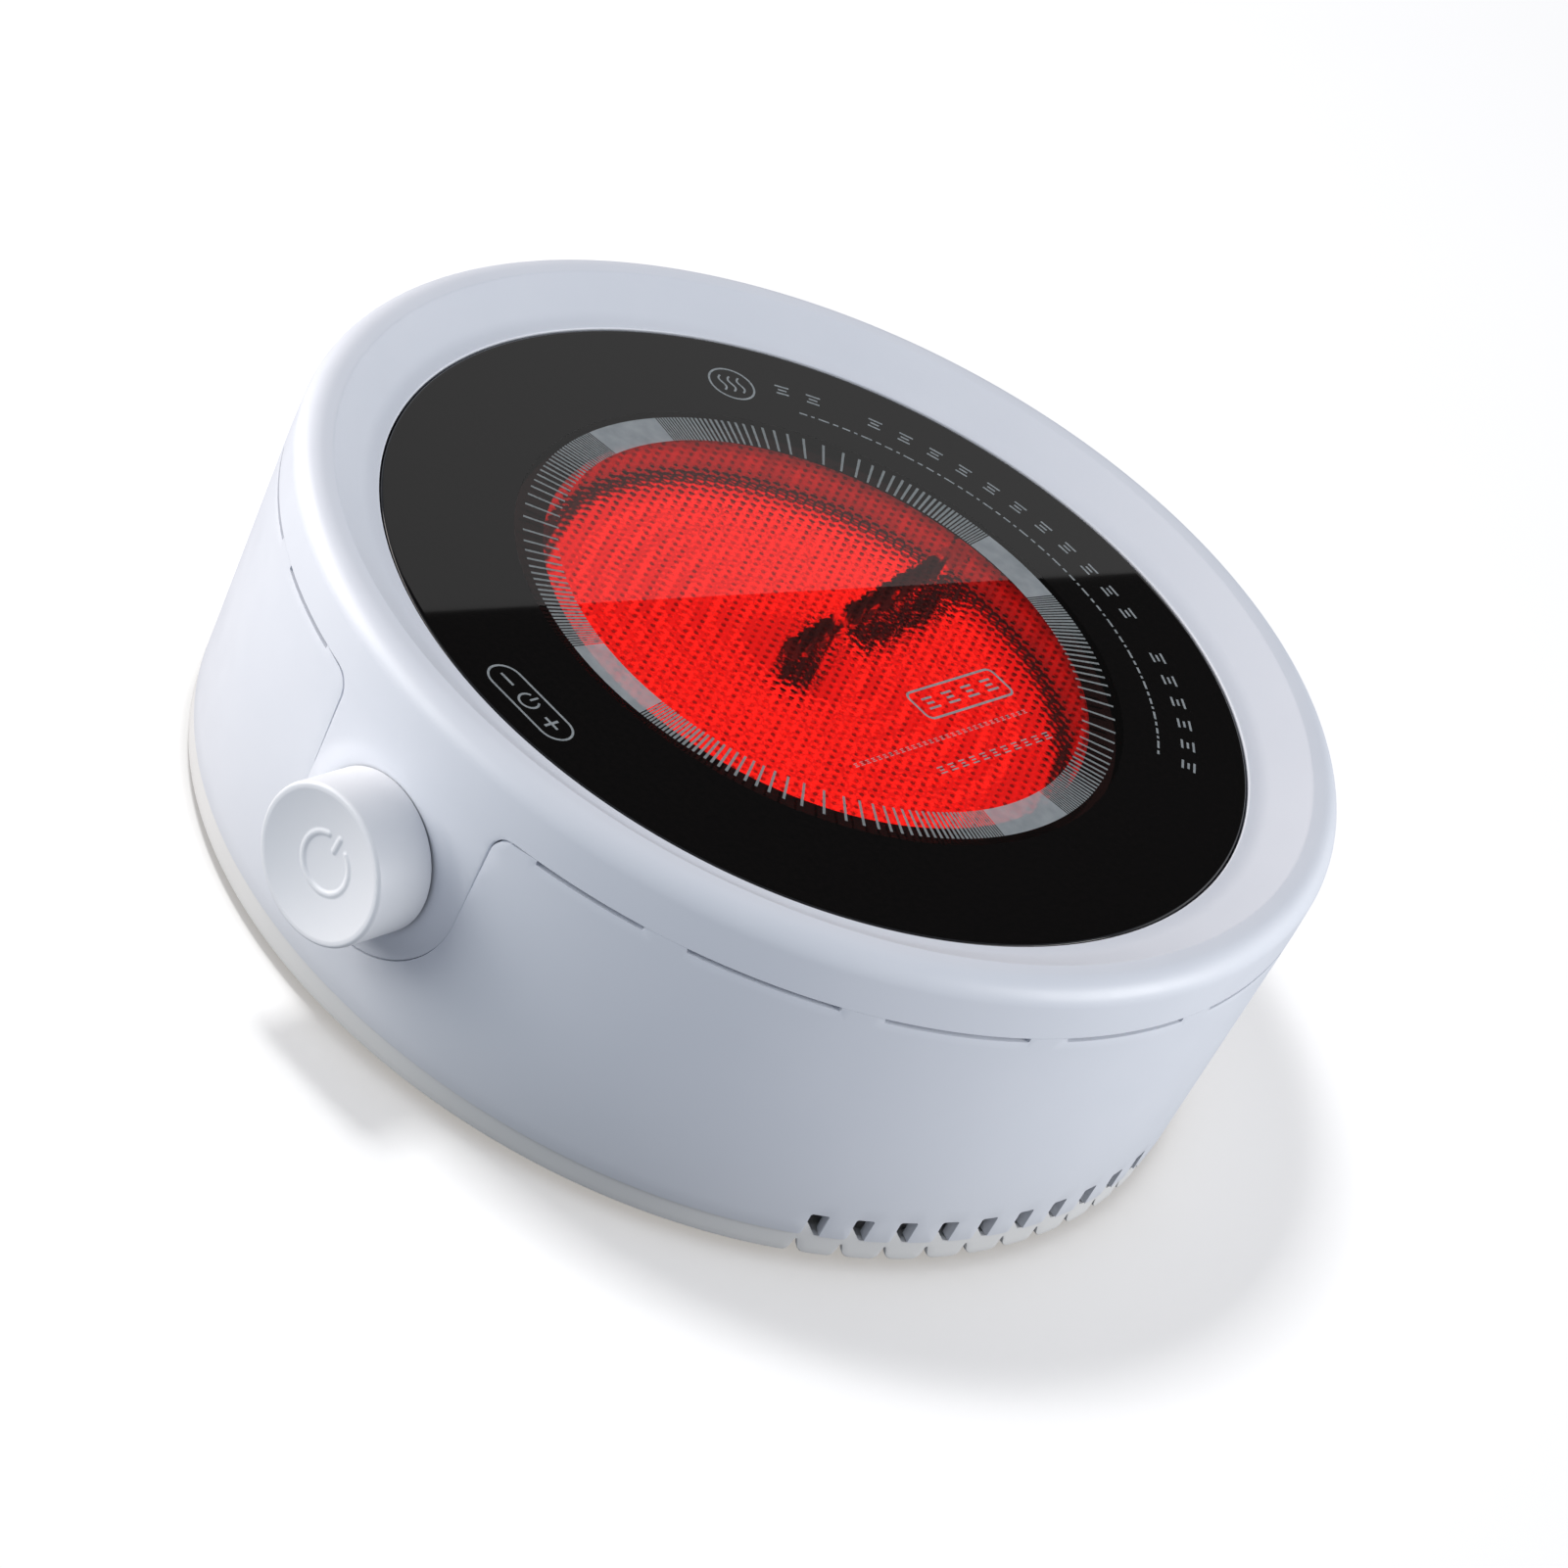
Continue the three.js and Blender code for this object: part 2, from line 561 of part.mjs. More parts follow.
place("fan_frame", fanFrame(), "black");
place("fan_rotor", fanRotor(), "black");
place("fan_guard", fanGuard(), "steel");
place("heater_lead_1", heaterLead(0), "lead");
place("heater_lead_2", heaterLead(1), "lead");
place("control_ribbon", controlRibbon(), "lead");

export default assembly;
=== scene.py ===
import json
import math

import bmesh
import bpy
from mathutils import Matrix, Vector
from mathutils.geometry import delaunay_2d_cdt
from mathutils.kdtree import KDTree

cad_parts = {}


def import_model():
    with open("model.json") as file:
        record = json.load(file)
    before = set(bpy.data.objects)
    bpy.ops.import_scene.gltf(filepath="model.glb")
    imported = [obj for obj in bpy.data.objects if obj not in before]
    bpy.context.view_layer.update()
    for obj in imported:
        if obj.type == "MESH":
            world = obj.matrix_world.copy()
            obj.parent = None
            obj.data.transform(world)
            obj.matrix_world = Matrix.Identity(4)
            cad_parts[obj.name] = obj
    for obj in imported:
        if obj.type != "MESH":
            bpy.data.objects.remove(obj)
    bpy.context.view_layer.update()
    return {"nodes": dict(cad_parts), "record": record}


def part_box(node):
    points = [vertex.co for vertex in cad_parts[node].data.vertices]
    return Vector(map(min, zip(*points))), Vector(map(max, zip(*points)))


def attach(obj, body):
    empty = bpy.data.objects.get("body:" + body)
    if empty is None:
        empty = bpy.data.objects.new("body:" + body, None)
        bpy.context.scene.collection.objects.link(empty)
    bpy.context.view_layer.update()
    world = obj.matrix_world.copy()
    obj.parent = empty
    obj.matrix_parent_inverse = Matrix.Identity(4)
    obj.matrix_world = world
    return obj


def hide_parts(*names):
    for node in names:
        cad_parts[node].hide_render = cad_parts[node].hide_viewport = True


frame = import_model()

MM = 0.001
rad = math.radians

# ---- Places read from the frame ---------------------------------------------------------------
GLASS_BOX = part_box("glass_plate")
SHELL_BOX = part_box("upper_shell")
SKIRT_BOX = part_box("side_skirt")
COVER_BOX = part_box("bottom_cover")
KNOB_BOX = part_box("knob_cap")
COIL_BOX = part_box("heating_coil")
FIBRE_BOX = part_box("fibre_base")
WALL_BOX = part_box("fibre_ring")
AXIS_Y = (GLASS_BOX[0].y + GLASS_BOX[1].y) / 2  # metres: where the drum axis stands
GLASS_TOP = GLASS_BOX[1].z / MM
GLASS_UNDER = GLASS_BOX[0].z / MM
GLASS_RADIUS = GLASS_BOX[1].x / MM
RIM_TOP = SHELL_BOX[1].z / MM
SKIRT_BOTTOM = SKIRT_BOX[0].z / MM
COVER_BOTTOM = COVER_BOX[0].z / MM
KNOB_Z = (KNOB_BOX[0].z + KNOB_BOX[1].z) / 2 / MM
KNOB_RADIUS = KNOB_BOX[1].x / MM
KNOB_OUTER = KNOB_RADIUS + 0.4
KNOB_FRONT = (AXIS_Y - KNOB_BOX[0].y) / MM
KNOB_BACK = (AXIS_Y - KNOB_BOX[1].y) / MM
COIL_LOW = COIL_BOX[0].z / MM
COIL_HIGH = COIL_BOX[1].z / MM
FIBRE_LOW = FIBRE_BOX[0].z / MM
FIBRE_FLOOR = FIBRE_BOX[1].z / MM
FIBRE_RADIUS = FIBRE_BOX[1].x / MM
WALL_TOP = WALL_BOX[1].z / MM

# ---- Driving dimensions -----------------------------------------------------------------------
PARTING = 57.5  # height of the joint between upper shell and skirt
RADIUS_AT_PARTING = SHELL_BOX[1].x / MM
RADIUS_AT_BOTTOM = 98.3
ROLL_START = -210  # degrees from the knob where the rolled-out walls begin and end
ROLL_END = 150
WALL = 2.2
SEAM = 0.38  # visible gap round the apron
JOIN = 0.04  # closed joint between the slits
DISH_RADIUS = 12.9  # the hollow in the knob's face
DISH_DEPTH = 1.9
MARK_RADIUS = 5.3  # the power mark raised in the hollow
MARK_HEIGHT = 0.25
RING_GAP = 27  # degrees from the mark's bar to the ends of its ring
BAR_ANGLE = 82
APRON_HALF = 19.3
APRON_FLARE = 4
FLANK_GAP = 0.22  # share of the seam's gap left along the apron's straight sides
FOOT_GAP = 0.78  # share of it that the round lower end drops by
KNOB_HOLE = 14.6
KNOB_NECK = 13.2  # the knob narrows behind its visible side and is black there, painted shade; both keep the gap dark
KNOB_SHOULDER = 99.65  # from the drum axis to the end of the knob's visible side
KNOB_BORE = 12.2
SHAFT_BORE = 3.4
BOSS_FACE = 99
BOSS_CURVE = 0.115  # how fast the boss falls away from the knob's hole, per square millimetre
BOSS_BLEND = 1.2
SLIT_PITCH = 20
SLIT_HALF = 7.8
SLIT_HEIGHT = 0.9
FIRST_SLIT = (16, 27.8)
VENT_PITCH = 5
VENT_FIRST = 56.9
VENT_COUNT = 10
VENT_WIDTH = 3.5
VENT_TOP = SKIRT_BOTTOM + 5.0
TOOTH_ROUND = 0.7  # rounded corner of the skirt beside each vent
TAB_HEIGHT = 2.6  # how far the band's tab reaches up into the corner of each vent
TAB_WIDTH = 2.6
NOTCH_HALF = 0.45  # half width of the notch between two lobes of the band
NOTCH_HEIGHT = 2.9
SMALL_CORNER = 1.3  # a lobe's lower corner away from the knob's side of its notch
LARGE_CORNER = 2.5
FLOOR_EDGE = 93.8  # outer radius of the cover's flat floor
WELL_RADIUS = 3.9  # wells for the housing screws
SLOT_INNER = 12.2  # air slots in the cover's floor, from this radius
SLOT_OUTER = 25.8
SLOT_COUNT = 18
CLEAR_RADIUS = 58.5  # clear glass over the heater, with the printed ring on it
WINDOW_RADIUS = 52.5  # opening of the black coat under the glass
PRINT_INNER = 50.3
PRINT_OUTER = 56.9
PRINT_LOW = GLASS_TOP + 0.005
PRINT_HIGH = GLASS_TOP + 0.035
TICK_WIDTH = 0.52  # degrees
TICK_CORNERS = (44.7, 134.7, 224.7, 314.7)  # where the ticks are sparsest
TICK_SPAN = 36.2  # degrees of ticks on each side of a corner
TICK_GAP = 4.1  # degrees between the first two ticks
TICK_CROWDING = 0.24
SECTOR_MIDDLES = (-0.3, 89.7, 179.7, 269.7)
SECTOR_HALF = 8.9
FINE_STROKE = 0.42
STROKE = 0.5
PILL_Y = -75  # place of the minus, power and plus signs
HEAT_SIGN = (150.3, 69.5)  # angle and radius
SIGN_COUNT = 21
SIGN_GAPS = (2, 14)
SIGN_START = 141.5
SIGN_PITCH = 5.1
SIGN_RADIUS = 71.4
DASH_RADIUS = 65.4
DASH_FROM = 139.0
DASH_TO = 40
COIL_INNER = 11
COIL_OUTER = 45.5
COIL_TURNS = 7
LATTICE_ROW = 1.8  # spacing of the rows of dimples under the glass
SCREW_RING = 89
FOOT_RING = 76
GLAND_Z = 18


# ---- Mesh building ----------------------------------------------------------------------------
class Solid:
    """Closed shells that together make one piece."""

    def __init__(self):
        self.points = []
        self.faces = []
        self.slots = []

    def add(self, shape, place=None):
        points, faces = shape
        base = len(self.points)
        self.points += [place(p) for p in points] if place else list(points)
        self.faces += [[base + i for i in face] for face in faces]
        self.slots += [0] * len(faces)
        return self

    def make(self, name, materials, nodes=(), body="root", slot=None, bevel=None, sharp=38):
        mesh = bpy.data.meshes.new(name)
        moved = [(x * MM, y * MM + AXIS_Y, z * MM) for x, y, z in self.points]
        mesh.from_pydata(moved, [], self.faces)
        for material in materials:
            mesh.materials.append(material)
        mesh.polygons.foreach_set("material_index", self.slots)
        clean(mesh, bevel, sharp)
        piece = bpy.data.objects.new(name, mesh)
        bpy.context.scene.collection.objects.link(piece)
        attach(piece, body)
        if nodes:
            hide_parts(*nodes)


def clean(mesh, bevel, sharp):
    """Welds the mesh, turns it outwards, rounds its sharp edges and sets its smooth shading."""
    work = bmesh.new()
    work.from_mesh(mesh)
    bmesh.ops.remove_doubles(work, verts=work.verts, dist=1e-7)
    bmesh.ops.dissolve_degenerate(work, edges=work.edges, dist=1e-8)
    bmesh.ops.delete(work, geom=[v for v in work.verts if not v.link_faces], context="VERTS")
    bmesh.ops.recalc_face_normals(work, faces=work.faces)
    if bevel:
        width, angle, wanted = bevel
        edges = [e for e in work.edges if len(e.link_faces) == 2 and wanted(e)
                 and e.calc_face_angle(0) > rad(angle)]
        bmesh.ops.bevel(work, geom=edges, offset=width * MM, offset_type="OFFSET", segments=3,
                        profile=0.5, affect="EDGES", clamp_overlap=True)
    for face in work.faces:
        face.smooth = True
    for edge in work.edges:
        flat = len(edge.link_faces) == 2 and edge.calc_face_angle(0) < rad(sharp)
        edge.smooth = flat
    work.to_mesh(mesh)
    work.free()
    mesh.update()


def rounded(corners, step=9, closed=True, hold=0.25):
    """A polyline through (a, b, radius) corners, with an arc at each corner that has a radius.

    An extra point just before and after each arc keeps the flat runs flat in smooth shading."""
    line = []
    count = len(corners)
    for i, (x, y, radius) in enumerate(corners):
        here = Vector((x, y))
        if radius <= 0 or (not closed and i in (0, count - 1)):
            line.append((x, y))
            continue
        before = Vector(corners[i - 1][:2]) - here
        after = Vector(corners[(i + 1) % count][:2]) - here
        room = min(before.length, after.length)
        before.normalize()
        after.normalize()
        half = before.angle(after) / 2
        reach = radius / math.tan(half)
        middle = here + (before + after).normalized() * (radius / math.sin(half))
        start = here + before * reach - middle
        turn = start.angle_signed(here + after * reach - middle)
        steps = max(2, round(abs(math.degrees(turn)) / step))
        spare = room > 2 * (reach + hold)
        if spare:
            line.append(tuple(here + before * (reach + hold)))
        for k in range(steps + 1):
            line.append(tuple(middle + turned_vector(start, -turn * k / steps)))
        if spare:
            line.append(tuple(here + after * (reach + hold)))
    return line


def turned_vector(v, angle):
    c, s = math.cos(angle), math.sin(angle)
    return Vector((c * v.x - s * v.y, s * v.x + c * v.y))


def lathe(outline, steps=128):
    """A body of revolution about Z; its outline is closed, or starts and ends on the axis."""
    count = len(outline)
    closed = outline[0][0] > 1e-9 or outline[-1][0] > 1e-9
    points = []
    for k in range(steps):
        c, s = math.cos(2 * math.pi * k / steps), math.sin(2 * math.pi * k / steps)
        points += [(r * c, r * s, z) for r, z in outline]
    faces = []
    for k in range(steps):
        a, b = k * count, ((k + 1) % steps) * count
        for i in range(count if closed else count - 1):
            j = (i + 1) % count
            faces.append((a + i, b + i, b + j, a + j))
    return points, faces


def prism(outline, low, high):
    count = len(outline)
    points = [(x, y, low) for x, y in outline] + [(x, y, high) for x, y in outline]
    faces = [list(range(count))[::-1], list(range(count, 2 * count))]
    faces += [(i, (i + 1) % count, count + (i + 1) % count, count + i) for i in range(count)]
    return points, faces


def filled(loops, inner=(), clearance=0.5):
    """Triangles over the area between closed loops, through the inner points that stay clear of them."""
    points = []
    edges = []
    for loop in loops:
        first = len(points)
        points += [tuple(p) for p in loop]
        edges += [(first + i, first + (i + 1) % len(loop)) for i in range(len(loop))]
    tree = KDTree(len(points))
    for i, (x, y) in enumerate(points):
        tree.insert((x, y, 0), i)
    tree.balance()
    points += [p for p in inner if tree.find((p[0], p[1], 0))[2] > clearance]
    found = delaunay_2d_cdt([Vector(p) for p in points], edges, [], 2, 1e-6)
    return [tuple(p) for p in found[0]], [list(f) for f in found[2]]


def thick(flat, front, back, open_side=None):
    """A closed shell between two images of a flat sheet; open_side names borders without a wall."""
    points, faces = flat
    count = len(points)
    border = {}
    for face in faces:
        for a, b in zip(face, face[1:] + face[:1]):
            if (b, a) in border:
                del border[(b, a)]
            else:
                border[(a, b)] = True
    walls = [(a, b, b + count, a + count) for a, b in border
             if not (open_side and open_side(points[a], points[b]))]
    mapped = [front(*p) for p in points] + [back(*p) for p in points]
    return mapped, faces + [[i + count for i in face[::-1]] for face in faces] + walls


def path(points, step):
    """The polyline's points, with more put in so that none are further apart than step."""
    line = []
    for (x0, y0), (x1, y1) in zip(points, points[1:]):
        parts = max(1, math.ceil(math.hypot(x1 - x0, y1 - y0) / step))
        line += [(x0 + (x1 - x0) * k / parts, y0 + (y1 - y0) * k / parts) for k in range(parts)]
    return line + [points[-1]]


def circle(radius, count, x=0, y=0, start=0):
    angles = [rad(start) + 2 * math.pi * i / count for i in range(count)]
    return [(x + radius * math.cos(a), y + radius * math.sin(a)) for a in angles]


def arc(radius, start, end, step=4, x=0, y=0):
    count = max(2, math.ceil(abs(end - start) / step))
    angles = [rad(start + (end - start) * i / count) for i in range(count + 1)]
    return [(x + radius * math.cos(a), y + radius * math.sin(a)) for a in angles]


def grid(x0, x1, y0, y1, step):
    """Points of a staggered grid inside a rectangle."""
    rows = math.floor((y1 - y0) / step)
    columns = math.floor((x1 - x0) / step)
    return [(x0 + (i + 0.5 * (j % 2) + 0.25) * (x1 - x0) / columns, y0 + (j + 0.5) * (y1 - y0) / rows)
            for j in range(rows) for i in range(columns)]


def about_knob(point):
    """Turns a shape made about Z, with z as the distance from the drum axis, onto the knob axis."""
    x, y, z = point
    return (x, -z, y + KNOB_Z)


def quarters(radius):
    return [(radius * math.cos(rad(a)), radius * math.sin(rad(a))) for a in (45, 135, 225, 315)]


def shifted(dx, dy):
    return lambda p: (p[0] + dx, p[1] + dy, p[2])


def turned(angle):
    c, s = math.cos(rad(angle)), math.sin(rad(angle))
    return lambda p: (c * p[0] - s * p[1], s * p[0] + c * p[1], p[2])


# ---- Material building ------------------------------------------------------------------------
class Finish:
    """A node material: a Principled shader with procedural inputs read in object coordinates."""

    def __init__(self, name, **values):
        self.material = bpy.data.materials.new(name)
        self.material.use_nodes = True
        self.nodes = self.material.node_tree.nodes
        self.links = self.material.node_tree.links
        self.shader = self.nodes["Principled BSDF"]
        self.place = self.nodes.new("ShaderNodeTexCoord").outputs["Object"]
        for key, value in values.items():
            self.shader.inputs[key.replace("_", " ")].default_value = value

    def product(self, *values):
        total = values[0]
        for value in values[1:]:
            total = self.math("MULTIPLY", total, value)
        return total

    def length(self, x, y):
        return self.math("SQRT", self.math("ADD", self.product(x, x), self.product(y, y)))

    def math(self, kind, *inputs, clamp=False):
        node = self.nodes.new("ShaderNodeMath")
        node.operation = kind
        node.use_clamp = clamp
        for socket, value in zip(node.inputs, inputs):
            self.feed(socket, value)
        return node.outputs[0]

    def feed(self, socket, value):
        if isinstance(value, bpy.types.NodeSocket):
            self.links.new(value, socket)
        else:
            socket.default_value = value

    def noise(self, size, detail=3.0, stretch=(1, 1, 1), turn=0):
        """Noise with features of about this many millimetres, from 0 to 1, longer along a turned axis."""
        mapping = self.nodes.new("ShaderNodeMapping")
        mapping.vector_type = "TEXTURE"
        mapping.inputs["Rotation"].default_value = (0, 0, rad(turn))
        mapping.inputs["Scale"].default_value = stretch
        node = self.nodes.new("ShaderNodeTexNoise")
        node.inputs["Scale"].default_value = 1 / (size * MM)
        node.inputs["Detail"].default_value = detail
        self.links.new(self.place, mapping.inputs["Vector"])
        self.links.new(mapping.outputs[0], node.inputs["Vector"])
        return node.outputs["Fac"]

    def remap(self, value, low, high, from_low=0.3, from_high=0.7, smooth=False):
        node = self.nodes.new("ShaderNodeMapRange")
        node.interpolation_type = "SMOOTHSTEP" if smooth else "LINEAR"
        node.inputs["From Min"].default_value = from_low
        node.inputs["From Max"].default_value = from_high
        node.inputs["To Min"].default_value = low
        node.inputs["To Max"].default_value = high
        self.links.new(value, node.inputs["Value"])
        return node.outputs[0]

    def mix(self, share, first, second):
        node = self.nodes.new("ShaderNodeMix")
        node.data_type = "RGBA"
        self.feed(node.inputs["Factor"], share)
        node.inputs["A"].default_value = (*first, 1)
        node.inputs["B"].default_value = (*second, 1)
        return node.outputs["Result"]

    def colour(self, first, second, size, detail=3.0):
        self.links.new(self.mix(self.remap(self.noise(size, detail), 0, 1), first, second),
                       self.shader.inputs["Base Color"])

    def rough(self, low, high, size, detail=3.0):
        self.links.new(self.remap(self.noise(size, detail), low, high), self.shader.inputs["Roughness"])

    def bump(self, *heights, strength=1.0):
        """Each height is (value, depth in millimetres); later ones lie on the earlier."""
        normal = None
        for value, depth in heights:
            node = self.nodes.new("ShaderNodeBump")
            node.inputs["Strength"].default_value = strength
            node.inputs["Distance"].default_value = depth * MM
            self.links.new(value, node.inputs["Height"])
            if normal:
                self.links.new(normal, node.inputs["Normal"])
            normal = node.outputs["Normal"]
        self.links.new(normal, self.shader.inputs["Normal"])

    def glow(self, colour, strength):
        self.links.new(strength, self.shader.inputs["Emission Strength"])
        self.shader.inputs["Emission Color"].default_value = (*colour, 1)

    def axes(self):
        node = self.nodes.new("ShaderNodeSeparateXYZ")
        self.links.new(self.place, node.inputs[0])
        return node.outputs

    def plan(self):
        """Place in plan about the drum axis, in millimetres."""
        x, y, _ = self.axes()
        return self.math("DIVIDE", x, MM), self.math("DIVIDE", self.math("SUBTRACT", y, AXIS_Y), MM)

    def radius(self):
        return self.length(*self.plan())

    def lattice(self):
        """Three waves that add up to 3 on the points of a hexagonal lattice and to -1.5 between them."""
        total = None
        for angle in (30, 90, 150):
            wave = 2 * math.pi / (LATTICE_ROW * MM)
            node = self.nodes.new("ShaderNodeVectorMath")
            node.operation = "DOT_PRODUCT"
            self.links.new(self.place, node.inputs[0])
            node.inputs[1].default_value = (wave * math.cos(rad(angle)), wave * math.sin(rad(angle)), 0)
            crest = self.math("COSINE", node.outputs["Value"])
            total = self.math("ADD", total, crest) if total else crest
        return total

    def near_line(self, start, end):
        """Distance in millimetres from a line in plan between two points about the drum axis."""
        x, y = self.plan()
        px, py = self.math("SUBTRACT", x, start[0]), self.math("SUBTRACT", y, start[1])
        dx, dy = end[0] - start[0], end[1] - start[1]
        along = self.math("ADD", self.product(px, dx), self.product(py, dy))
        share = self.math("DIVIDE", along, dx * dx + dy * dy, clamp=True)
        return self.length(self.math("SUBTRACT", px, self.product(share, dx)),
                           self.math("SUBTRACT", py, self.product(share, dy)))


def plain(name, colours, rough, dents, strength=1.0, **values):
    """Two colours mixed by noise, a range of roughness, and bumps given as noise and a depth."""
    f = Finish(name, **values)
    f.colour(*colours)
    f.rough(*rough)
    if dents:
        f.bump(*((f.noise(*dent[:-1]), dent[-1]) for dent in dents), strength=strength)
    return f.material


def white_plastic(name, low, high):
    return plain(name, (low, high, 22), (0.34, 0.42, 6), ((0.55, 4, 0.006), (40, 1, 0.12)), 0.6, IOR=1.5)


def metal(name, colour, low, high, size=0.4, stretch=(1, 1, 1)):
    return plain(name, (colour, lighter(colour), 7), (low, high, 3), ((size, 3, stretch, 0.006),),
                 Metallic=1.0)


def dull(name, colour, low, high, grain=0.4, depth=0.02, spread=1.12):
    return plain(name, (colour, lighter(colour, spread), 5), (low, high, 3), ((grain, 4, depth),))


def lighter(colour, share=1.12):
    return tuple(min(1, c * share) for c in colour)


def dimpled_glass():
    f = Finish("dimpled_glass", IOR=1.52, Transmission_Weight=1.0)
    waves = f.lattice()
    # Dark dots at the dimples and darker diagonal streaks in the base colour are painted shade; the
    # dimples' shape is the bump.
    streak_painted_shade = f.remap(f.noise(1.5, 3, (7, 1, 1), 120), 0.45, 1.35)
    dimple_painted_shade = f.product(f.remap(waves, 0.16, 1, 0.3, 2.2, smooth=True), streak_painted_shade)
    f.links.new(f.mix(dimple_painted_shade, (0.62, 0.20, 0.17), (0.05, 0.008, 0.008)), f.shader.inputs["Base Color"])
    f.rough(0.02, 0.05, 12)
    f.bump((waves, 0.03), strength=0.6)
    return f.material


# Each patch of the limiter's painted shadow: the two ends of its middle line and its half width, about the
# drum axis.
FLOOR_SHADOW_PATCHES = (((2.2, -4.5), (-3.8, 7.6), 3.4), ((-0.6, 16.5), (-6.0, 50.0), 3.9))
TUBE_SHADOW_PATCHES = (((2, -12), (-0.5, 2.5), 4.0), ((-2.3, 12), (-7.2, 40), 4.0))


def limiter_shadow_share(f, patches):
    """Painted shadow of the limiter: from 1 in its patches, down to 0 round them."""
    ragged = f.product(f.math("SUBTRACT", f.noise(1.5, 3, (6, 1, 1), 120), 0.5), 15.0)
    total = None
    for start, end, half in patches:
        distance = f.math("ADD", f.near_line(start, end), ragged)
        part = f.remap(distance, 1, 0, half - 1.6, half + 1.6, smooth=True)
        total = f.math("MAXIMUM", total, part) if total else part
    return total


def glowing(name, glow_colour, strength, outer, patches=FLOOR_SHADOW_PATCHES, beyond=0.0):
    """A part of the heater that glows out to a radius and is kept dark in the patches of the limiter's
    painted shadow; the glow is the ribbon's own heat, and painted light from the coil on the fibre floor
    and the rod.
    """
    f = Finish(name, Roughness=0.8)
    f.colour((0.05, 0.012, 0.008), (0.09, 0.02, 0.012), 4)
    edge = f.remap(f.radius(), 1, beyond, outer, outer + 2.2, smooth=True)
    # The limiter's painted shadow takes the glow away in its patches.
    glow_share = f.product(edge, f.math("SUBTRACT", 1.0, limiter_shadow_share(f, patches)))
    flicker = f.remap(f.noise(2.5, 3), 0.8, 1.15)
    f.glow(glow_colour, f.product(glow_share, flicker, strength))
    f.bump((f.noise(1.2, 5), 0.15))
    return f.material


def painted_glow_wall():
    # The fibre ring's dark red colour and red glow are painted light from the coil: brightest at the
    # wall's foot next to the coil, fading towards its top, and only on its inner face.
    f = Finish("painted_glow_wall", Roughness=0.95)
    f.colour((0.16, 0.03, 0.025), (0.24, 0.05, 0.04), 3)
    height = f.math("DIVIDE", f.axes()[2], MM)
    foot = f.remap(height, 0.55, 0.8, FIBRE_FLOOR + 0.6, FIBRE_FLOOR + 3.5, smooth=True)
    brim = f.remap(height, 1.0, 0.45, WALL_TOP - 2.6, WALL_TOP - 0.3, smooth=True)
    inside = f.remap(f.radius(), 1, 0, WINDOW_RADIUS + 1, WINDOW_RADIUS + 3, smooth=True)
    streaks = f.remap(f.noise(2.2, 3, (1, 1, 6)), 0.65, 1.25)
    f.glow((1.0, 0.012, 0.012), f.product(foot, brim, inside, streaks, 0.85))
    f.bump((f.noise(0.8, 5), 0.2))
    return f.material


WHITE = white_plastic("white_abs", (0.765, 0.792, 0.852), (0.785, 0.81, 0.868))
KNOB_WHITE = white_plastic("knob_white", (0.825, 0.84, 0.872), (0.845, 0.858, 0.887))
IVORY = plain("ivory_abs", ((0.80, 0.80, 0.795), (0.83, 0.83, 0.825), 18), (0.42, 0.5, 5),
              ((0.5, 4, 0.008),), 0.7, IOR=1.5)
BLACK_GLASS = plain("black_glass", ((0.0018, 0.0016, 0.0016), (0.0036, 0.0028, 0.0028), 1.1, 5),
                    (0.018, 0.03, 30), ((60, 1, 0.02),), 0.15, IOR=1.52)
WINDOW = plain("window_glass", ((0.60, 0.20, 0.17), (0.62, 0.215, 0.18), 25), (0.0, 0.006, 30), (),
               IOR=1.52, Transmission_Weight=1.0)
DIMPLES = dimpled_glass()
PRINT_GRAIN = ((0.25, 3, 0.004),)
SILVER = plain("silver_print", ((0.27, 0.30, 0.305), (0.36, 0.39, 0.395), 0.6, 4), (0.42, 0.55, 2),
               PRINT_GRAIN, Metallic=0.2, IOR=1.5, Alpha=0.75)
BRIGHT = plain("bright_print", ((0.40, 0.44, 0.46), (0.52, 0.56, 0.58), 3, 4), (0.36, 0.48, 2),
               PRINT_GRAIN, Metallic=0.2, IOR=1.5, Alpha=0.58)
PRINT = plain("white_print", ((0.21, 0.235, 0.245), (0.33, 0.355, 0.365), 0.7, 4), (0.45, 0.6, 2),
              PRINT_GRAIN, IOR=1.5)
GLOW_RIBBON = glowing("hot_ribbon", (1.0, 0.03, 0.02), 2.0, COIL_OUTER + 2.2)
# The fibre floor and the limiter rod are no heaters: their red glow is painted light from the coil.
FIBRE_PAINTED_GLOW = glowing("fibre_painted_glow", (1.0, 0.015, 0.012), 1.5, COIL_OUTER + 2.4)
TUBE_PAINTED_GLOW = glowing("tube_painted_glow", (1.0, 0.02, 0.015), 1.7, 43, TUBE_SHADOW_PATCHES, 0.25)
WALL_PAINTED_GLOW = painted_glow_wall()
RUBBER = dull("black_rubber", (0.022, 0.022, 0.024), 0.6, 0.8, 0.3, 0.03)
SILICONE = dull("silicone", (0.6, 0.6, 0.58), 0.5, 0.65)
FIBRE = dull("white_fibre", (0.72, 0.69, 0.63), 0.9, 1.0, 0.9, 0.15)
STEEL = metal("plated_steel", (0.52, 0.53, 0.55), 0.28, 0.42, 0.5, (8, 1, 1))
ZINC = metal("screw_zinc", (0.56, 0.57, 0.6), 0.25, 0.38)
STEATITE = dull("steatite", (0.72, 0.68, 0.6), 0.55, 0.7, 0.5, 0.03)
BOARD = dull("green_board", (0.02, 0.14, 0.05), 0.3, 0.42, 1.5, 0.03, 1.5)
BLACK = dull("black_plastic", (0.018, 0.018, 0.02), 0.38, 0.5)
YELLOW = dull("yellow_tape", (0.6, 0.4, 0.05), 0.3, 0.45, 2.0, 0.05)
SLEEVE = dull("wire_sleeve", (0.56, 0.54, 0.5), 0.55, 0.7, 0.5, 0.06)


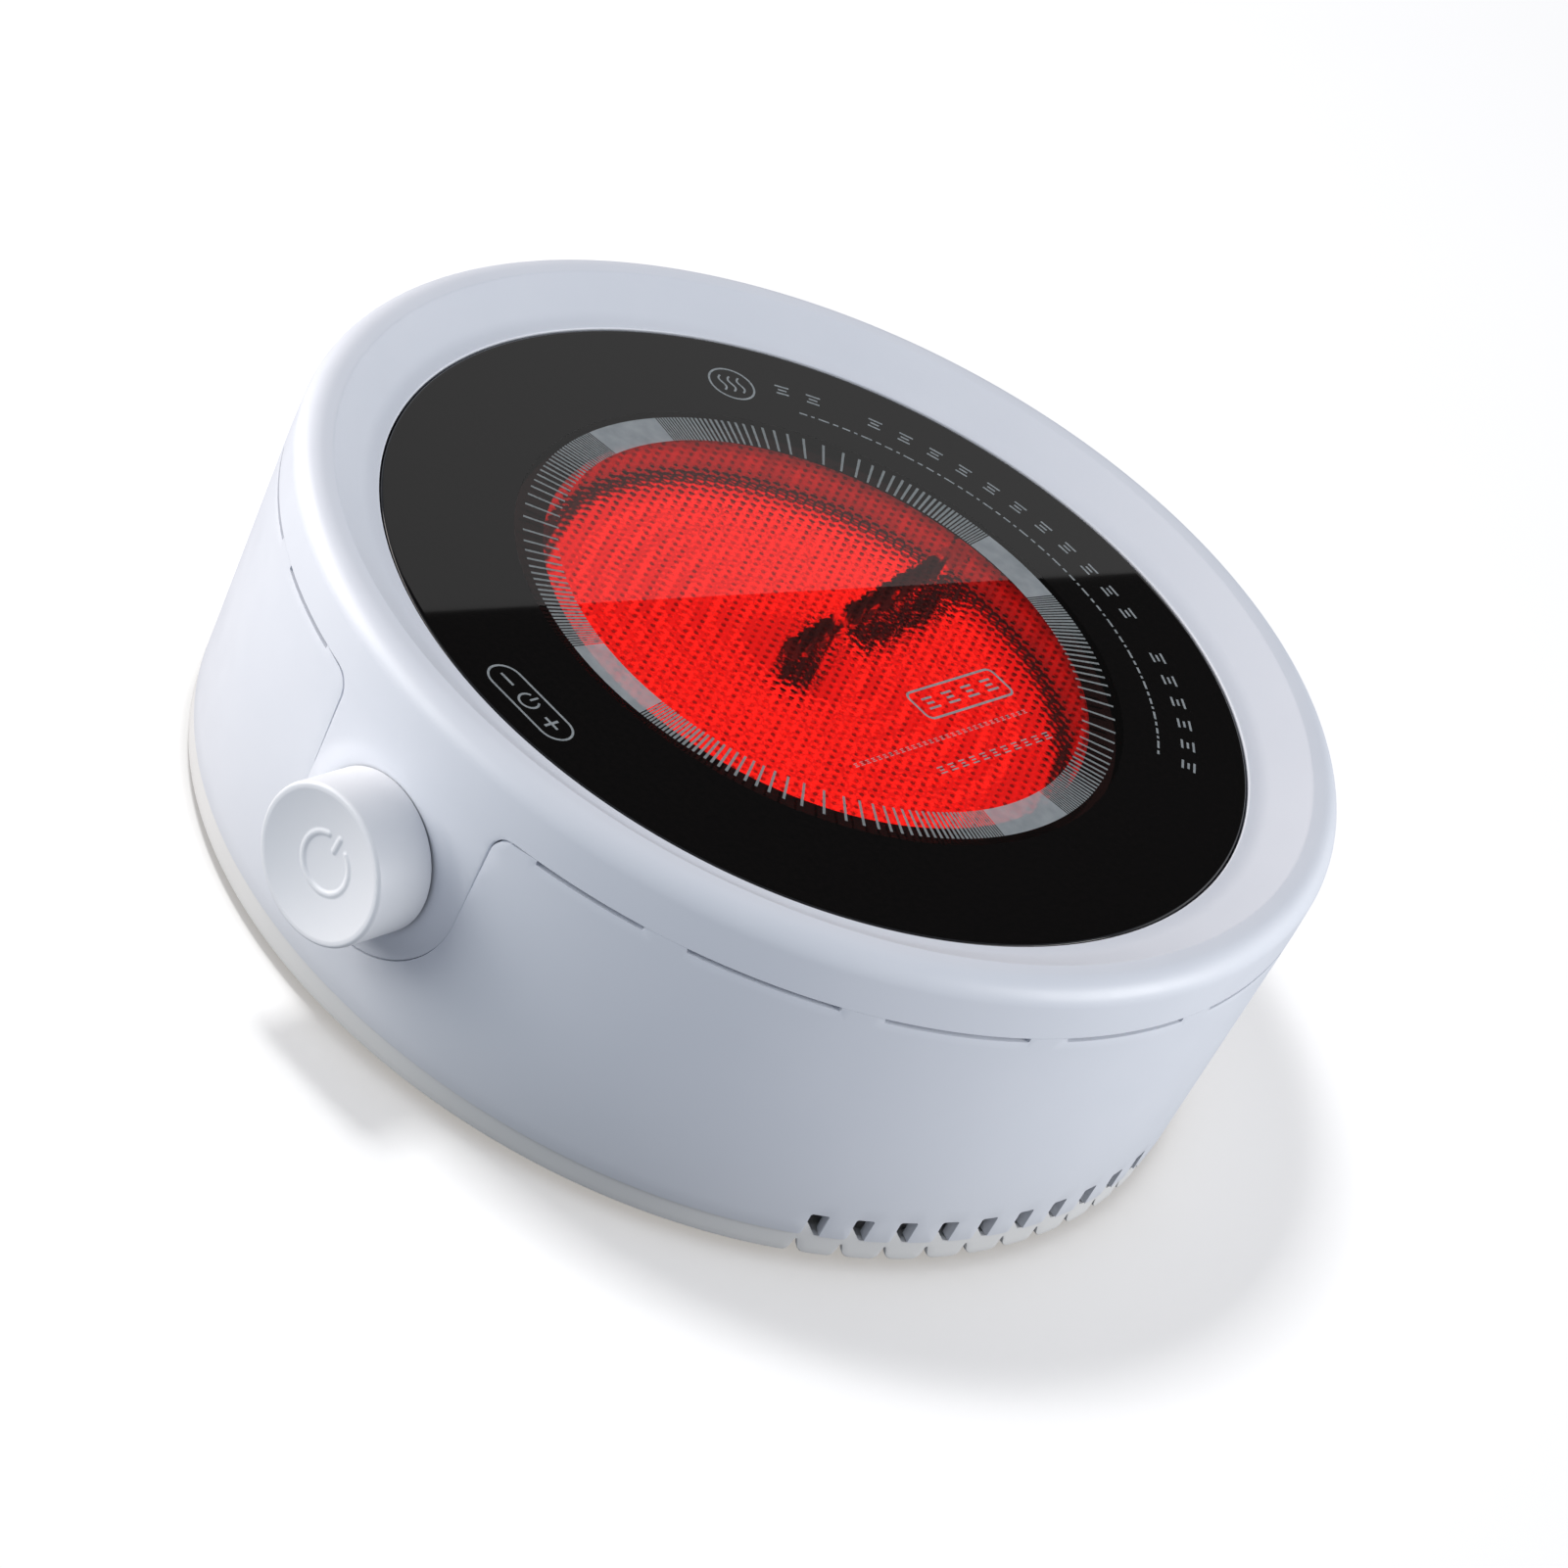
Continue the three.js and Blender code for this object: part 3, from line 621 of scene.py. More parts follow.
def dress_nodes():
    """Gives each CAD node that stays in view its own procedural finish."""
    looks = {
        "white_abs": WHITE, "ivory_abs": IVORY, "black_glass": BLACK_GLASS, "silicone": SILICONE,
        "black_rubber": RUBBER, "plated_steel": STEEL, "screw_zinc": ZINC, "white_fibre": FIBRE,
        "hot_ribbon": GLOW_RIBBON, "steatite": STEATITE, "green_board": BOARD, "black_plastic": BLACK,
        "yellow_tape": YELLOW, "wire_sleeve": SLEEVE,
    }
    for part in frame["record"]["subparts"]:
        node = frame["nodes"][part["node"]]
        node.data.materials.clear()
        node.data.materials.append(looks[part["material_slot"]])


# ---- Housing ----------------------------------------------------------------------------------
def wall_radius(z):
    share = (z - SKIRT_BOTTOM) / (PARTING - SKIRT_BOTTOM)
    return RADIUS_AT_BOTTOM + share * (RADIUS_AT_PARTING - RADIUS_AT_BOTTOM)


def from_knob(angle, radius, z):
    return (radius * math.sin(rad(angle)), -radius * math.cos(rad(angle)), z)


def boss_front(x, z):
    """Distance of the apron's surface in front of the drum axis plane."""
    drum = math.sqrt(wall_radius(z) ** 2 - x * x)
    beyond = max(0, math.hypot(x, z - KNOB_Z) - KNOB_HOLE)
    boss = BOSS_FACE - BOSS_CURVE * beyond ** 2
    near = max(BOSS_BLEND - abs(drum - boss), 0) / BOSS_BLEND
    return max(drum, boss) + near * near * BOSS_BLEND / 4


def apron_outline(grow):
    """The apron seen from the front: flared corners, straight sides and a round lower end."""
    half = APRON_HALF + FLANK_GAP * grow
    flare = APRON_FLARE - grow
    corner = APRON_HALF + APRON_FLARE
    flare_z = PARTING - APRON_FLARE
    left = arc(flare, 90, 0, 6, -corner, flare_z)
    below = arc(half, 180, 360, 3, 0, KNOB_Z - FOOT_GAP * grow)
    right = arc(flare, 180, 90, 6, corner, flare_z)
    down = path([left[-1], below[0]], 1.5)[1:-1]
    up = path([below[-1], right[0]], 1.5)[1:-1]
    return left + down + below + up + right


def rim_profile():
    seat = GLASS_RADIUS + 0.3
    lip = RADIUS_AT_PARTING - WALL - 0.3
    return rounded([
        (RADIUS_AT_PARTING, PARTING, 0), (RADIUS_AT_PARTING, RIM_TOP + 0.15, 4.2),
        (93.5, RIM_TOP - 0.3, 1.0), (85.9, 63.4, 7), (seat, 62.92, 0.4), (seat, GLASS_UNDER - 1.4, 0),
        (74.5, GLASS_UNDER - 1.4, 0.3), (74.5, 55.3, 0.3), (85.6, 55.3, 0.5), (85.6, 61, 1),
        (lip, 65.2, 2), (lip, PARTING, 0),
    ], step=7)


def lip_tabs(shell):
    """Tabs inside the skirt, between the slits, that keep the two halves in line."""
    outer = RADIUS_AT_PARTING - WALL - 0.3
    for middle in range(SLIT_PITCH // 2, 360, SLIT_PITCH):
        if not 20 < middle < 340:
            continue
        angles = [middle + step - 90 for step in (-1.6, -0.8, 0, 0.8, 1.6)]
        outline = [polar(a, outer) for a in angles] + [polar(a, outer - 1.8) for a in angles[::-1]]
        shell.add(prism(outline, PARTING - 4, PARTING + 2))


def apron():
    """The apron's wall, pierced for the knob."""
    hole = circle(KNOB_HOLE, 96, 0, KNOB_Z)
    outline = path([(x, min(z, PARTING)) for x, z in apron_outline(0)], 1.2)
    outline += path([outline[-1], outline[0]], 1.2)[1:-1]
    inner = grid(-24, 24, 18, PARTING, 1.4)
    inner = [p for p in inner if math.hypot(p[0], p[1] - KNOB_Z) > 20.4]
    for i in range(10):
        inner += circle(15.4 + 0.5 * i, 96, 0, KNOB_Z, 1.9 * (i % 2))
    flat = filled([outline, hole], [p for p in inner if in_apron(*p)], 0.42)
    return thick(flat, lambda x, z: (x, -boss_front(x, z), z),
                 lambda x, z: (x, WALL - boss_front(x, z), z))


def upper_shell():
    shell = Solid().add(lathe(rim_profile(), 288))
    shell.add(apron())
    cup = rounded([
        (KNOB_HOLE + 0.05, 98.6, 0), (KNOB_HOLE + 0.05, 91, 0.6), (4.9, 91, 0.2), (4.9, 89, 0.2),
        (17, 89, 0.8), (17, 96.5, 0.3),
    ])
    shell.add(lathe(cup, 96), place=about_knob)
    lip_tabs(shell)
    post = [(1.8, 12), (4.3, 12), (4.3, 61), (1.8, 61)]
    for x, y in quarters(SCREW_RING):
        shell.add(lathe(post, 32), place=shifted(x, y))
    front = AXIS_Y - 95.05 * MM
    near_seam = lambda e: all(v.co.z < (PARTING - 0.2) * MM and v.co.y < front for v in e.verts)
    shell.make("shell_top", [WHITE], ["upper_shell"], slot="white_abs", bevel=(0.16, 50, near_seam))


def in_apron(x, z):
    if z > KNOB_Z:
        corner, top = APRON_HALF + APRON_FLARE, PARTING - APRON_FLARE
        flared = z > top and math.hypot(corner - abs(x), z - top) > APRON_FLARE
        return z < PARTING and (abs(x) < APRON_HALF or (flared and abs(x) < corner))
    return math.hypot(x, z - KNOB_Z) < APRON_HALF


def slit_ranges():
    ranges = [FIRST_SLIT, (-FIRST_SLIT[1], -FIRST_SLIT[0])]
    for middle in range(2 * SLIT_PITCH, 360 - SLIT_PITCH, SLIT_PITCH):
        turn = 360 if middle > 150 else 0
        ranges.append((middle - turn - SLIT_HALF, middle - turn + SLIT_HALF))
    return sorted(ranges)


def vent_angles():
    angles = [VENT_FIRST + i * VENT_PITCH for i in range(VENT_COUNT)]
    return sorted(angles + [-a for a in angles])


def skirt_outline(left, right, per_degree):
    """The skirt rolled out flat: x is the arc length at the parting radius, y the height."""
    top = PARTING - JOIN
    lower = [(left, SKIRT_BOTTOM)]
    for angle in vent_angles():
        a, b = angle * per_degree - VENT_WIDTH / 2, angle * per_degree + VENT_WIDTH / 2
        near, far = (TOOTH_ROUND, 0.2) if angle > 0 else (0.2, TOOTH_ROUND)
        lower += arc(near, 270, 360, 15, a - near, SKIRT_BOTTOM + near)
        lower += [(a, VENT_TOP - 0.3), (a + 0.3, VENT_TOP), (b - 0.3, VENT_TOP), (b, VENT_TOP - 0.3)]
        lower += arc(far, 180, 270, 15, b + far, SKIRT_BOTTOM + far)
    lower.append((right, SKIRT_BOTTOM))
    seam = [(math.asin(x / RADIUS_AT_PARTING) * RADIUS_AT_PARTING, z) for x, z in apron_outline(SEAM)]
    upper = [(left, top)]
    for start, end in slit_ranges():
        if start > 0 and seam:
            upper += [(x, min(z, top)) for x, z in seam]
            seam = None
        a, b = start * per_degree, end * per_degree
        low = PARTING - SLIT_HEIGHT
        upper += [(a, top), (a, low + 0.2), (a + 0.2, low), (b - 0.2, low), (b, low + 0.2), (b, top)]
    upper.append((right, top))
    corners = lower + upper[::-1] + [lower[0]]
    return path(corners, 2.4)[:-1]


def rolled_up(flat, per_degree, outer, thickness):
    """Bends a rolled-out sheet, x along the arc and y up, into a wall whose two ends are welded."""
    ends = (ROLL_START * per_degree, ROLL_END * per_degree)
    at = lambda p, end: abs(p[0] - end) < 1e-3
    return thick(flat, lambda s, z: from_knob(s / per_degree, outer(z), z),
                 lambda s, z: from_knob(s / per_degree, outer(z) - thickness, z),
                 lambda p, q: any(at(p, end) and at(q, end) for end in ends))


def side_skirt():
    per_degree = RADIUS_AT_PARTING * rad(1)
    left, right = ROLL_START * per_degree, ROLL_END * per_degree
    outline = skirt_outline(left, right, per_degree)
    gland_hole = circle(5.4, 40, -180 * per_degree, GLAND_Z)
    inner = grid(left + 1, right - 1, SKIRT_BOTTOM + 2, PARTING - 1.5, 2.4)
    points, faces = filled([outline, gland_hole], inner, 1.1)
    faces = [f for f in faces if not skirt_gap([points[i] for i in f])]
    skirt = Solid().add(rolled_up((points, faces), per_degree, wall_radius, WALL))
    below_joint = lambda e: all(v.co.z < (PARTING - 0.5) * MM for v in e.verts)
    skirt.make("skirt", [WHITE], ["side_skirt"], slot="white_abs", bevel=(0.14, 50, below_joint))


def skirt_gap(corners):
    """Whether a triangle lies in the apron's place, which the skirt leaves open."""
    x = sum(p[0] for p in corners) / 3
    z = sum(p[1] for p in corners) / 3
    return abs(x) < APRON_HALF and z > KNOB_Z


def band_outline(left, right, per_degree):
    """The scalloped band under the skirt, rolled out flat, with a tab up into each vent's corner."""
    low, high = COVER_BOTTOM, SKIRT_BOTTOM - 0.12
    edges = [(a * per_degree - math.copysign(VENT_WIDTH / 2, a), math.copysign(1, a))
             for a in vent_angles()]
    last = (VENT_FIRST + VENT_COUNT * VENT_PITCH) * per_degree - VENT_WIDTH / 2
    line = [(left, low)]
    for s, side in sorted(edges + [(last, 1), (-last, -1)]):
        before, after = (SMALL_CORNER, LARGE_CORNER) if side > 0 else (LARGE_CORNER, SMALL_CORNER)
        line += arc(before, 270, 350, 16, s - before - NOTCH_HALF, low + before)
        line += [(s - 0.15, low + NOTCH_HEIGHT), (s + 0.15, low + NOTCH_HEIGHT)]
        line += arc(after, 190, 270, 16, s + after + NOTCH_HALF, low + after)
    line += [(right, low), (right, high)]
    for s, side in edges[::-1]:
        tab = [(s + side * TAB_WIDTH, high), (s + side * 0.25, SKIRT_BOTTOM + TAB_HEIGHT),
               (s - side * 0.7, SKIRT_BOTTOM + TAB_HEIGHT), (s - side * 0.7, high)]
        line += tab if side > 0 else tab[::-1]
    line += [(left, high), (left, low)]
    return path(line, 2.4)[:-1]


def cover_floor():
    """The flat floor, with its air slots and the holes of the screw wells."""
    holes = [circle(WELL_RADIUS, 40, x, y) for x, y in quarters(SCREW_RING)]
    slot = arc(1.25, 90, 270, 30, SLOT_INNER) + arc(1.25, -90, 90, 30, SLOT_OUTER)
    for i in range(SLOT_COUNT):
        turn = turned(360 / SLOT_COUNT * (i + 0.5))
        holes.append([turn((x, y, 0))[:2] for x, y in slot])
    flat = filled([circle(FLOOR_EDGE, 180)] + holes, grid(-90, 90, -90, 90, 6), 2.0)
    return thick(flat, lambda x, y: (x, y, COVER_BOTTOM), lambda x, y: (x, y, COVER_BOTTOM + 2))


def bottom_cover():
    """The scalloped band, its turned-in rim and a floor with air slots and screw wells."""
    radius = RADIUS_AT_BOTTOM - 0.4
    inside = radius - 1.1
    per_degree = radius * rad(1)
    left, right = ROLL_START * per_degree, ROLL_END * per_degree
    flat = filled([band_outline(left, right, per_degree)], grid(left, right, 3, 6.6, 1.6), 0.6)
    cover = Solid().add(rolled_up(flat, per_degree, lambda z: radius, radius - inside))
    rim = rounded([
        (FLOOR_EDGE - 0.3, COVER_BOTTOM + 0.1, 0), (FLOOR_EDGE, COVER_BOTTOM + 0.1, 0.3),
        (inside, 4.9, 0.3), (inside, 6.6, 0), (inside - 2.2, 6.6, 0.3),
        (FLOOR_EDGE - 0.3, COVER_BOTTOM + 1.9, 0.3),
    ])
    cover.add(lathe(rim, 256))
    cover.add(cover_floor())
    well = rounded([
        (WELL_RADIUS, COVER_BOTTOM + 1.8, 0), (WELL_RADIUS, 4.6, 0), (1.7, 4.6, 0), (1.7, 5.8, 0.2),
        (WELL_RADIUS + 1, 5.8, 0.3), (WELL_RADIUS + 1, COVER_BOTTOM + 1.8, 0),
    ])
    for x, y in quarters(SCREW_RING):
        cover.add(lathe(well, 40), place=shifted(x, y))
    reach = (inside - 0.1) * MM
    band_edge = lambda e: all(v.co.z < (SKIRT_BOTTOM - 1) * MM
                              and math.hypot(v.co.x, v.co.y - AXIS_Y) > reach for v in e.verts)
    cover.make("cover", [IVORY], ["bottom_cover"], slot="ivory_abs", bevel=(0.22, 40, band_edge))


def knob_face(x, z):
    """Depth of the knob's dished face below its front plane, with the raised power mark."""
    r = math.hypot(x, z)
    dish = DISH_DEPTH * (1 - min(r / DISH_RADIUS, 1) ** 2)
    angle = math.degrees(math.atan2(z, x))
    off_bar = abs((angle - BAR_ANGLE + 180) % 360 - 180)
    past_end = max(0, RING_GAP - off_bar)
    ring = math.hypot(r - MARK_RADIUS, MARK_RADIUS * rad(past_end)) if past_end else abs(r - MARK_RADIUS)
    c, s = math.cos(rad(BAR_ANGLE)), math.sin(rad(BAR_ANGLE))
    along = x * c + z * s
    bar = math.hypot(x * s - z * c, max(0, 2.9 - along, along - 6.0))
    ridge = MARK_HEIGHT * smooth_step((0.8 - min(ring, bar)) / 0.7)
    return dish - ridge


def smooth_step(t):
    t = max(0, min(1, t))
    return t * t * (3 - 2 * t)


def knob_cap():
    rings = 96
    side = rounded([
        (DISH_RADIUS, KNOB_FRONT, 0), (KNOB_OUTER, KNOB_FRONT, 0.7), (KNOB_OUTER, KNOB_SHOULDER, 0.15),
        (KNOB_NECK, KNOB_SHOULDER, 0.15), (KNOB_NECK, KNOB_BACK, 0.2), (KNOB_BORE, KNOB_BACK, 0.2),
        (KNOB_BORE, 106.6, 0.5), (5, 106.6, 0.3), (5, 96, 0.3), (SHAFT_BORE, 96, 0.2),
        (SHAFT_BORE, 108.2, 0), (0, 108.2, 0),
    ], closed=False)
    outline = [(DISH_RADIUS * i / rings, KNOB_FRONT) for i in range(rings)] + side
    points, faces = lathe(outline, 256)
    points = [(x, y, z - knob_face(x, y)) if i % len(outline) < rings else (x, y, z)
              for i, (x, y, z) in enumerate(points)]
    cap = Solid().add((points, faces), place=about_knob)
    # Faces behind the knob's visible side, on its neck and back, take black plastic: painted shade that
    # keeps the gap round the knob dark.
    for i, face in enumerate(faces):
        behind = max(points[v][2] for v in face) < KNOB_SHOULDER + 0.05
        if behind and max(math.hypot(*points[v][:2]) for v in face) > KNOB_NECK - 0.2:
            cap.slots[i] = 1
    cap.make(
        "knob_shell", [KNOB_WHITE, BLACK], ["knob_cap"], body="knob", slot="white_abs", sharp=60)


# ---- Glass and print --------------------------------------------------------------------------
def glass_plate():
    top, under = GLASS_TOP, GLASS_UNDER
    edge = GLASS_RADIUS - 1
    profile = [(0, top), (CLEAR_RADIUS, top), (edge, top)] + rounded([
        (edge, top, 0), (GLASS_RADIUS, top, 0.5), (GLASS_RADIUS, under, 0.5), (edge, under, 0),
    ], closed=False)[1:]
    profile += [(WINDOW_RADIUS, under), (0, under)]
    points, faces = lathe(profile, 192)
    plate = Solid().add((points, faces))
    for i, face in enumerate(faces):
        reach = max(math.hypot(*points[v][:2]) for v in face)
        above = min(points[v][2] for v in face) > top - 0.001
        below = max(points[v][2] for v in face) < under + 0.001
        if above and reach < CLEAR_RADIUS + 0.01:
            plate.slots[i] = 1
        elif below and reach < WINDOW_RADIUS + 0.01:
            plate.slots[i] = 2
    plate.make("glass_top", [BLACK_GLASS, WINDOW, DIMPLES], ["glass_plate"], slot="black_glass")


def polar(angle, radius):
    return (radius * math.cos(rad(angle)), radius * math.sin(rad(angle)))


def printed(middle, half):
    """A raised sector of the printed ring."""
    start, end = middle - half, middle + half
    outline = arc(PRINT_INNER, start, end, 1.5) + arc(PRINT_OUTER, end, start, 1.5)
    return prism(outline, PRINT_LOW, PRINT_HIGH)


def tick_ring():
    """Ticks that crowd together from the four sparse corners towards the four solid sectors."""
    ticks = Solid()
    solids = Solid()
    for corner in TICK_CORNERS:
        for side in (-1, 1):
            angle = 0.0
            k = 0
            while angle < TICK_SPAN:
                gap = TICK_GAP / (1 + TICK_CROWDING * k)
                width = min(TICK_WIDTH, gap * 0.6)
                middle = corner + side * angle
                if k or side > 0:
                    ticks.add(printed(middle, width / 2))
                angle += gap
                k += 1
    for middle in SECTOR_MIDDLES:
        solids.add(printed(middle, SECTOR_HALF))
    ticks.make("tick_print", [SILVER], slot="plated_steel")
    solids.make("sector_print", [BRIGHT], slot="plated_steel")


def stroke(points, width, closed=False):
    """A band of even width along a flat line, as a loop, or as an outer and an inner loop."""
    sides = ([], [])
    count = len(points)
    for i, p in enumerate(points):
        before = points[i - 1] if closed or i else p
        after = points[(i + 1) % count] if closed or i < count - 1 else p
        along = Vector((after[0] - before[0], after[1] - before[1])).normalized()
        across = Vector((-along.y, along.x)) * (width / 2)
        sides[0].append((p[0] + across.x, p[1] + across.y))
        sides[1].append((p[0] - across.x, p[1] - across.y))
    return sides


def stroke_prism(points, width, closed=False):
    left, right = stroke(points, width, closed)
    if not closed:
        return prism(left + right[::-1], PRINT_LOW, PRINT_HIGH)
    count = len(points)
    loops = [[(x, y, z) for x, y in side] for side, z in
             ((left, PRINT_LOW), (right, PRINT_LOW), (right, PRINT_HIGH), (left, PRINT_HIGH))]
    vertices = [p for loop in loops for p in loop]
    faces = []
    for a in range(4):
        b = (a + 1) % 4
        for i in range(count):
            j = (i + 1) % count
            faces.append((a * count + i, a * count + j, b * count + j, b * count + i))
    return vertices, faces


def frame_at(angle, radius):
    """Places a mark drawn with x along the ring, clockwise, and y outwards."""
    out = Vector(polar(angle, 1))
    along = Vector((out.y, -out.x))
    centre = out * radius
    return lambda p: (*(centre + along * p[0] + out * p[1]), p[2])


def draw(marks, place, points, width=FINE_STROKE, closed=False):
    marks.add(stroke_prism(points, width, closed), place=place)


def pill_mark(marks):
    """The minus, power and plus signs in their rounded frame, before the knob."""
    place = shifted(0, PILL_Y)
    draw(marks, place, arc(3.2, -90, 90, 12, 6.4) + arc(3.2, 90, 270, 12, -6.4), closed=True)
    draw(marks, place, [(-7.7, 0), (-4.5, 0)], STROKE)
    draw(marks, place, [(3.9, 0), (7.1, 0)], STROKE)
    for end in (1, -1):
        draw(marks, place, [(5.5, 0.26 * end), (5.5, 1.6 * end)], STROKE)
    power_x = -0.4
    draw(marks, place, arc(1.8, 126, 412, 12, power_x))
    draw(marks, place, [(power_x, 0.3), (power_x, 2.2)])


def heat_mark(marks):
    """Three heat waves in a ring."""
    place = frame_at(*HEAT_SIGN)
    draw(marks, place, circle(4.6, 40), closed=True)
    for x in (-1.9, 0, 1.9):
        wave = [(x + 0.55 * math.sin(rad(i * 36)), -2.3 + 0.46 * i) for i in range(11)]
        draw(marks, place, wave, 0.4)


def bars_mark(marks, place, size):
    """A plain sign of three short bars."""
    for row, width in ((1, 0.9), (0, 0.55), (-1, 0.8)):
        y = row * size * 0.36
        half = width * size / 2
        marks.add(stroke_prism([(-half, y), (half, y)], size * 0.14), place=place)


def arc_marks(marks):
    """A ring of bar signs, and a finer dotted line inside it, in place of lettering."""
    for i in range(SIGN_COUNT):
        if i not in SIGN_GAPS:
            bars_mark(marks, frame_at(SIGN_START - i * SIGN_PITCH, SIGN_RADIUS), 3.2)
    angle = DASH_FROM
    k = 0
    while angle > DASH_TO:
        length = (1.6, 0.7, 2.2, 1.1)[k % 4]
        place = frame_at(angle - math.degrees(length / 2 / DASH_RADIUS), DASH_RADIUS)
        draw(marks, place, [(-length / 2, 0), (length / 2, 0)])
        angle -= math.degrees((length + 0.8) / DASH_RADIUS)
        k += 1


def window_marks(marks):
    """The framed signs and dotted lines over the heater, in place of lettering."""
    frame_x, frame_y = (21, 28), (0.6, 24.4)
    outline = rounded([(frame_x[0], frame_y[0], 1.4), (frame_x[1], frame_y[0], 1.4),
                       (frame_x[1], frame_y[1], 1.4), (frame_x[0], frame_y[1], 1.4)], 18)
    marks.add(stroke_prism(outline, STROKE, True))
    for i in range(4):
        middle = 4.3 + i * 5.45
        place = lambda p, m=middle: (24.5 + p[1], m + p[0], p[2])
        bars_mark(marks, place, 3.4)
    for x, start, end, size in ((32.5, -24.3, 23.5, 1.0), (39.0, -7.9, 23.6, 1.9)):
        y = start
        while y < end - size:
            place = lambda p, x=x, y=y: (x + p[1], y + p[0], p[2])
            bars_mark(marks, place, size)
            y += size * 1.55


def glass_print():
    tick_ring()
    marks = Solid()
    pill_mark(marks)
    heat_mark(marks)
    arc_marks(marks)
    marks.make("mark_print", [PRINT], slot="white_abs")
    window = Solid()
    window_marks(window)
    window.make("window_print", [PRINT], slot="white_abs")


# ---- Heater -----------------------------------------------------------------------------------
def heating_coil():
    """A corrugated ribbon that stands on edge in a flat spiral."""
    waves = 380
    per_wave = 8
    steps = waves * per_wave
    inner, outer = COIL_INNER - 0.4, COIL_OUTER - 0.9
    points = []
    for i in range(steps + 1):
        # Equal steps of ribbon length: the radius grows with the square root of the share.
        share = i / steps
        radius = math.sqrt(inner ** 2 + share * (outer ** 2 - inner ** 2))
        angle = (radius - inner) / (outer - inner) * COIL_TURNS * 2 * math.pi
        middle = radius + 0.85 * math.sin(2 * math.pi * i / per_wave)
        for offset, z in ((-0.09, COIL_LOW), (0.09, COIL_LOW), (0.09, COIL_HIGH), (-0.09, COIL_HIGH)):
            points.append(((middle + offset) * math.cos(angle), (middle + offset) * math.sin(angle), z))
    faces = [(0, 1, 2, 3), tuple(4 * steps + k for k in (3, 2, 1, 0))]
    for i in range(steps):
        a, b = 4 * i, 4 * i + 4
        faces += [(a + k, a + (k + 1) % 4, b + (k + 1) % 4, b + k) for k in range(4)]
    coil = Solid().add((points, faces))
    coil.make("ribbon_coil", [GLOW_RIBBON], ["heating_coil"], slot="hot_ribbon")


def fibre_parts():
    base = rounded([(0, FIBRE_LOW, 0), (FIBRE_RADIUS, FIBRE_LOW, 0.4), (FIBRE_RADIUS, FIBRE_FLOOR, 0.4),
                    (COIL_OUTER + 2.5, FIBRE_FLOOR, 0.2), (COIL_OUTER + 2.5, FIBRE_FLOOR - 0.6, 0.2),
                    (0, FIBRE_FLOOR - 0.6, 0)], closed=False)
    points, faces = lathe(base, 128)
    pad = Solid().add((points, faces))
    for i, face in enumerate(faces):
        if min(points[v][2] for v in face) < FIBRE_FLOOR - 0.7:
            pad.slots[i] = 1
    pad.make("fibre_floor", [FIBRE_PAINTED_GLOW, FIBRE], ["fibre_base"], slot="white_fibre")


def limiter():
    rod = rounded([(0, -8, 0), (2.1, -8, 1.0), (2.1, 59.8, 0.2), (0, 59.8, 0)], 20, closed=False)
    turn = turned(101)
    place = lambda p: turn((p[2], p[0], 56.2 + p[1]))
    Solid().add(lathe(rod, 32), place=place).make(
        "limiter_tube", [TUBE_PAINTED_GLOW], ["limiter_rod"], slot="plated_steel")


# ---- Small outer parts ------------------------------------------------------------------------
def feet():
    for i, (x, y) in enumerate(quarters(FOOT_RING)):
        top = COVER_BOTTOM - 0.2
        profile = rounded([
            (0, 0.35, 0), (2.4, 0.35, 0.2), (2.7, 0, 0.2), (5.7, 0, 0.7), (6.5, top, 0.3), (0, top, 0),
        ], closed=False)
        Solid().add(lathe(profile, 48), place=shifted(x, y)).make(
            f"foot_pad_{i + 1}", [RUBBER], [f"foot_{i + 1}"], slot="black_rubber")


def screws():
    """Pan-head screws with a cross recess, seen in their wells from below."""
    cross = []
    for turn in range(4):
        rotate = turned(90 * turn)
        cross += [rotate((x, y, 0))[:2] for x, y in ((0.45, -0.45), (1.9, -0.4), (1.9, 0.4))]
    for i, (x, y) in enumerate(quarters(SCREW_RING)):
        head = filled([circle(3.4, 48), cross])
        screw = Solid().add(thick(head, lambda u, v: (u, v, 3.0 + 0.035 * (u * u + v * v)),
                                  lambda u, v: (u, v, 4.3)), place=shifted(x, y))
        shank = [(0, 4.2), (3.4, 4.25), (3.4, 4.6)]
        z = 5.1
        shank += [(1.5, z)]
        while z < 23.4:
            shank += [(1.25, z + 0.35), (1.5, z + 0.7)]
            z += 0.7
        shank += [(0, 25)]
        screw.add(lathe(shank, 24), place=shifted(x, y))
        screw.make(f"screw_{i + 1}", [ZINC], [f"housing_screw_{i + 1}"], slot="screw_zinc")


def gland():
    profile = rounded([
        (3.4, 91, 0.2), (6.6, 91, 0.4), (6.6, 95.4, 0.3), (5, 95.4, 0.1), (5, 98.9, 0.1), (7.4, 98.9, 0.3),
        (7.4, 100.2, 0.4), (6.0, 100.9, 0.3), (4.6, 100.3, 0.3), (3.9, 100.9, 0.2), (3.4, 100.2, 0.2),
    ])
    place = lambda p: (p[0], p[2], p[1] + GLAND_Z)
    Solid().add(lathe(profile, 64), place=place).make(
        "gland", [RUBBER], ["cord_gland"], slot="black_rubber")


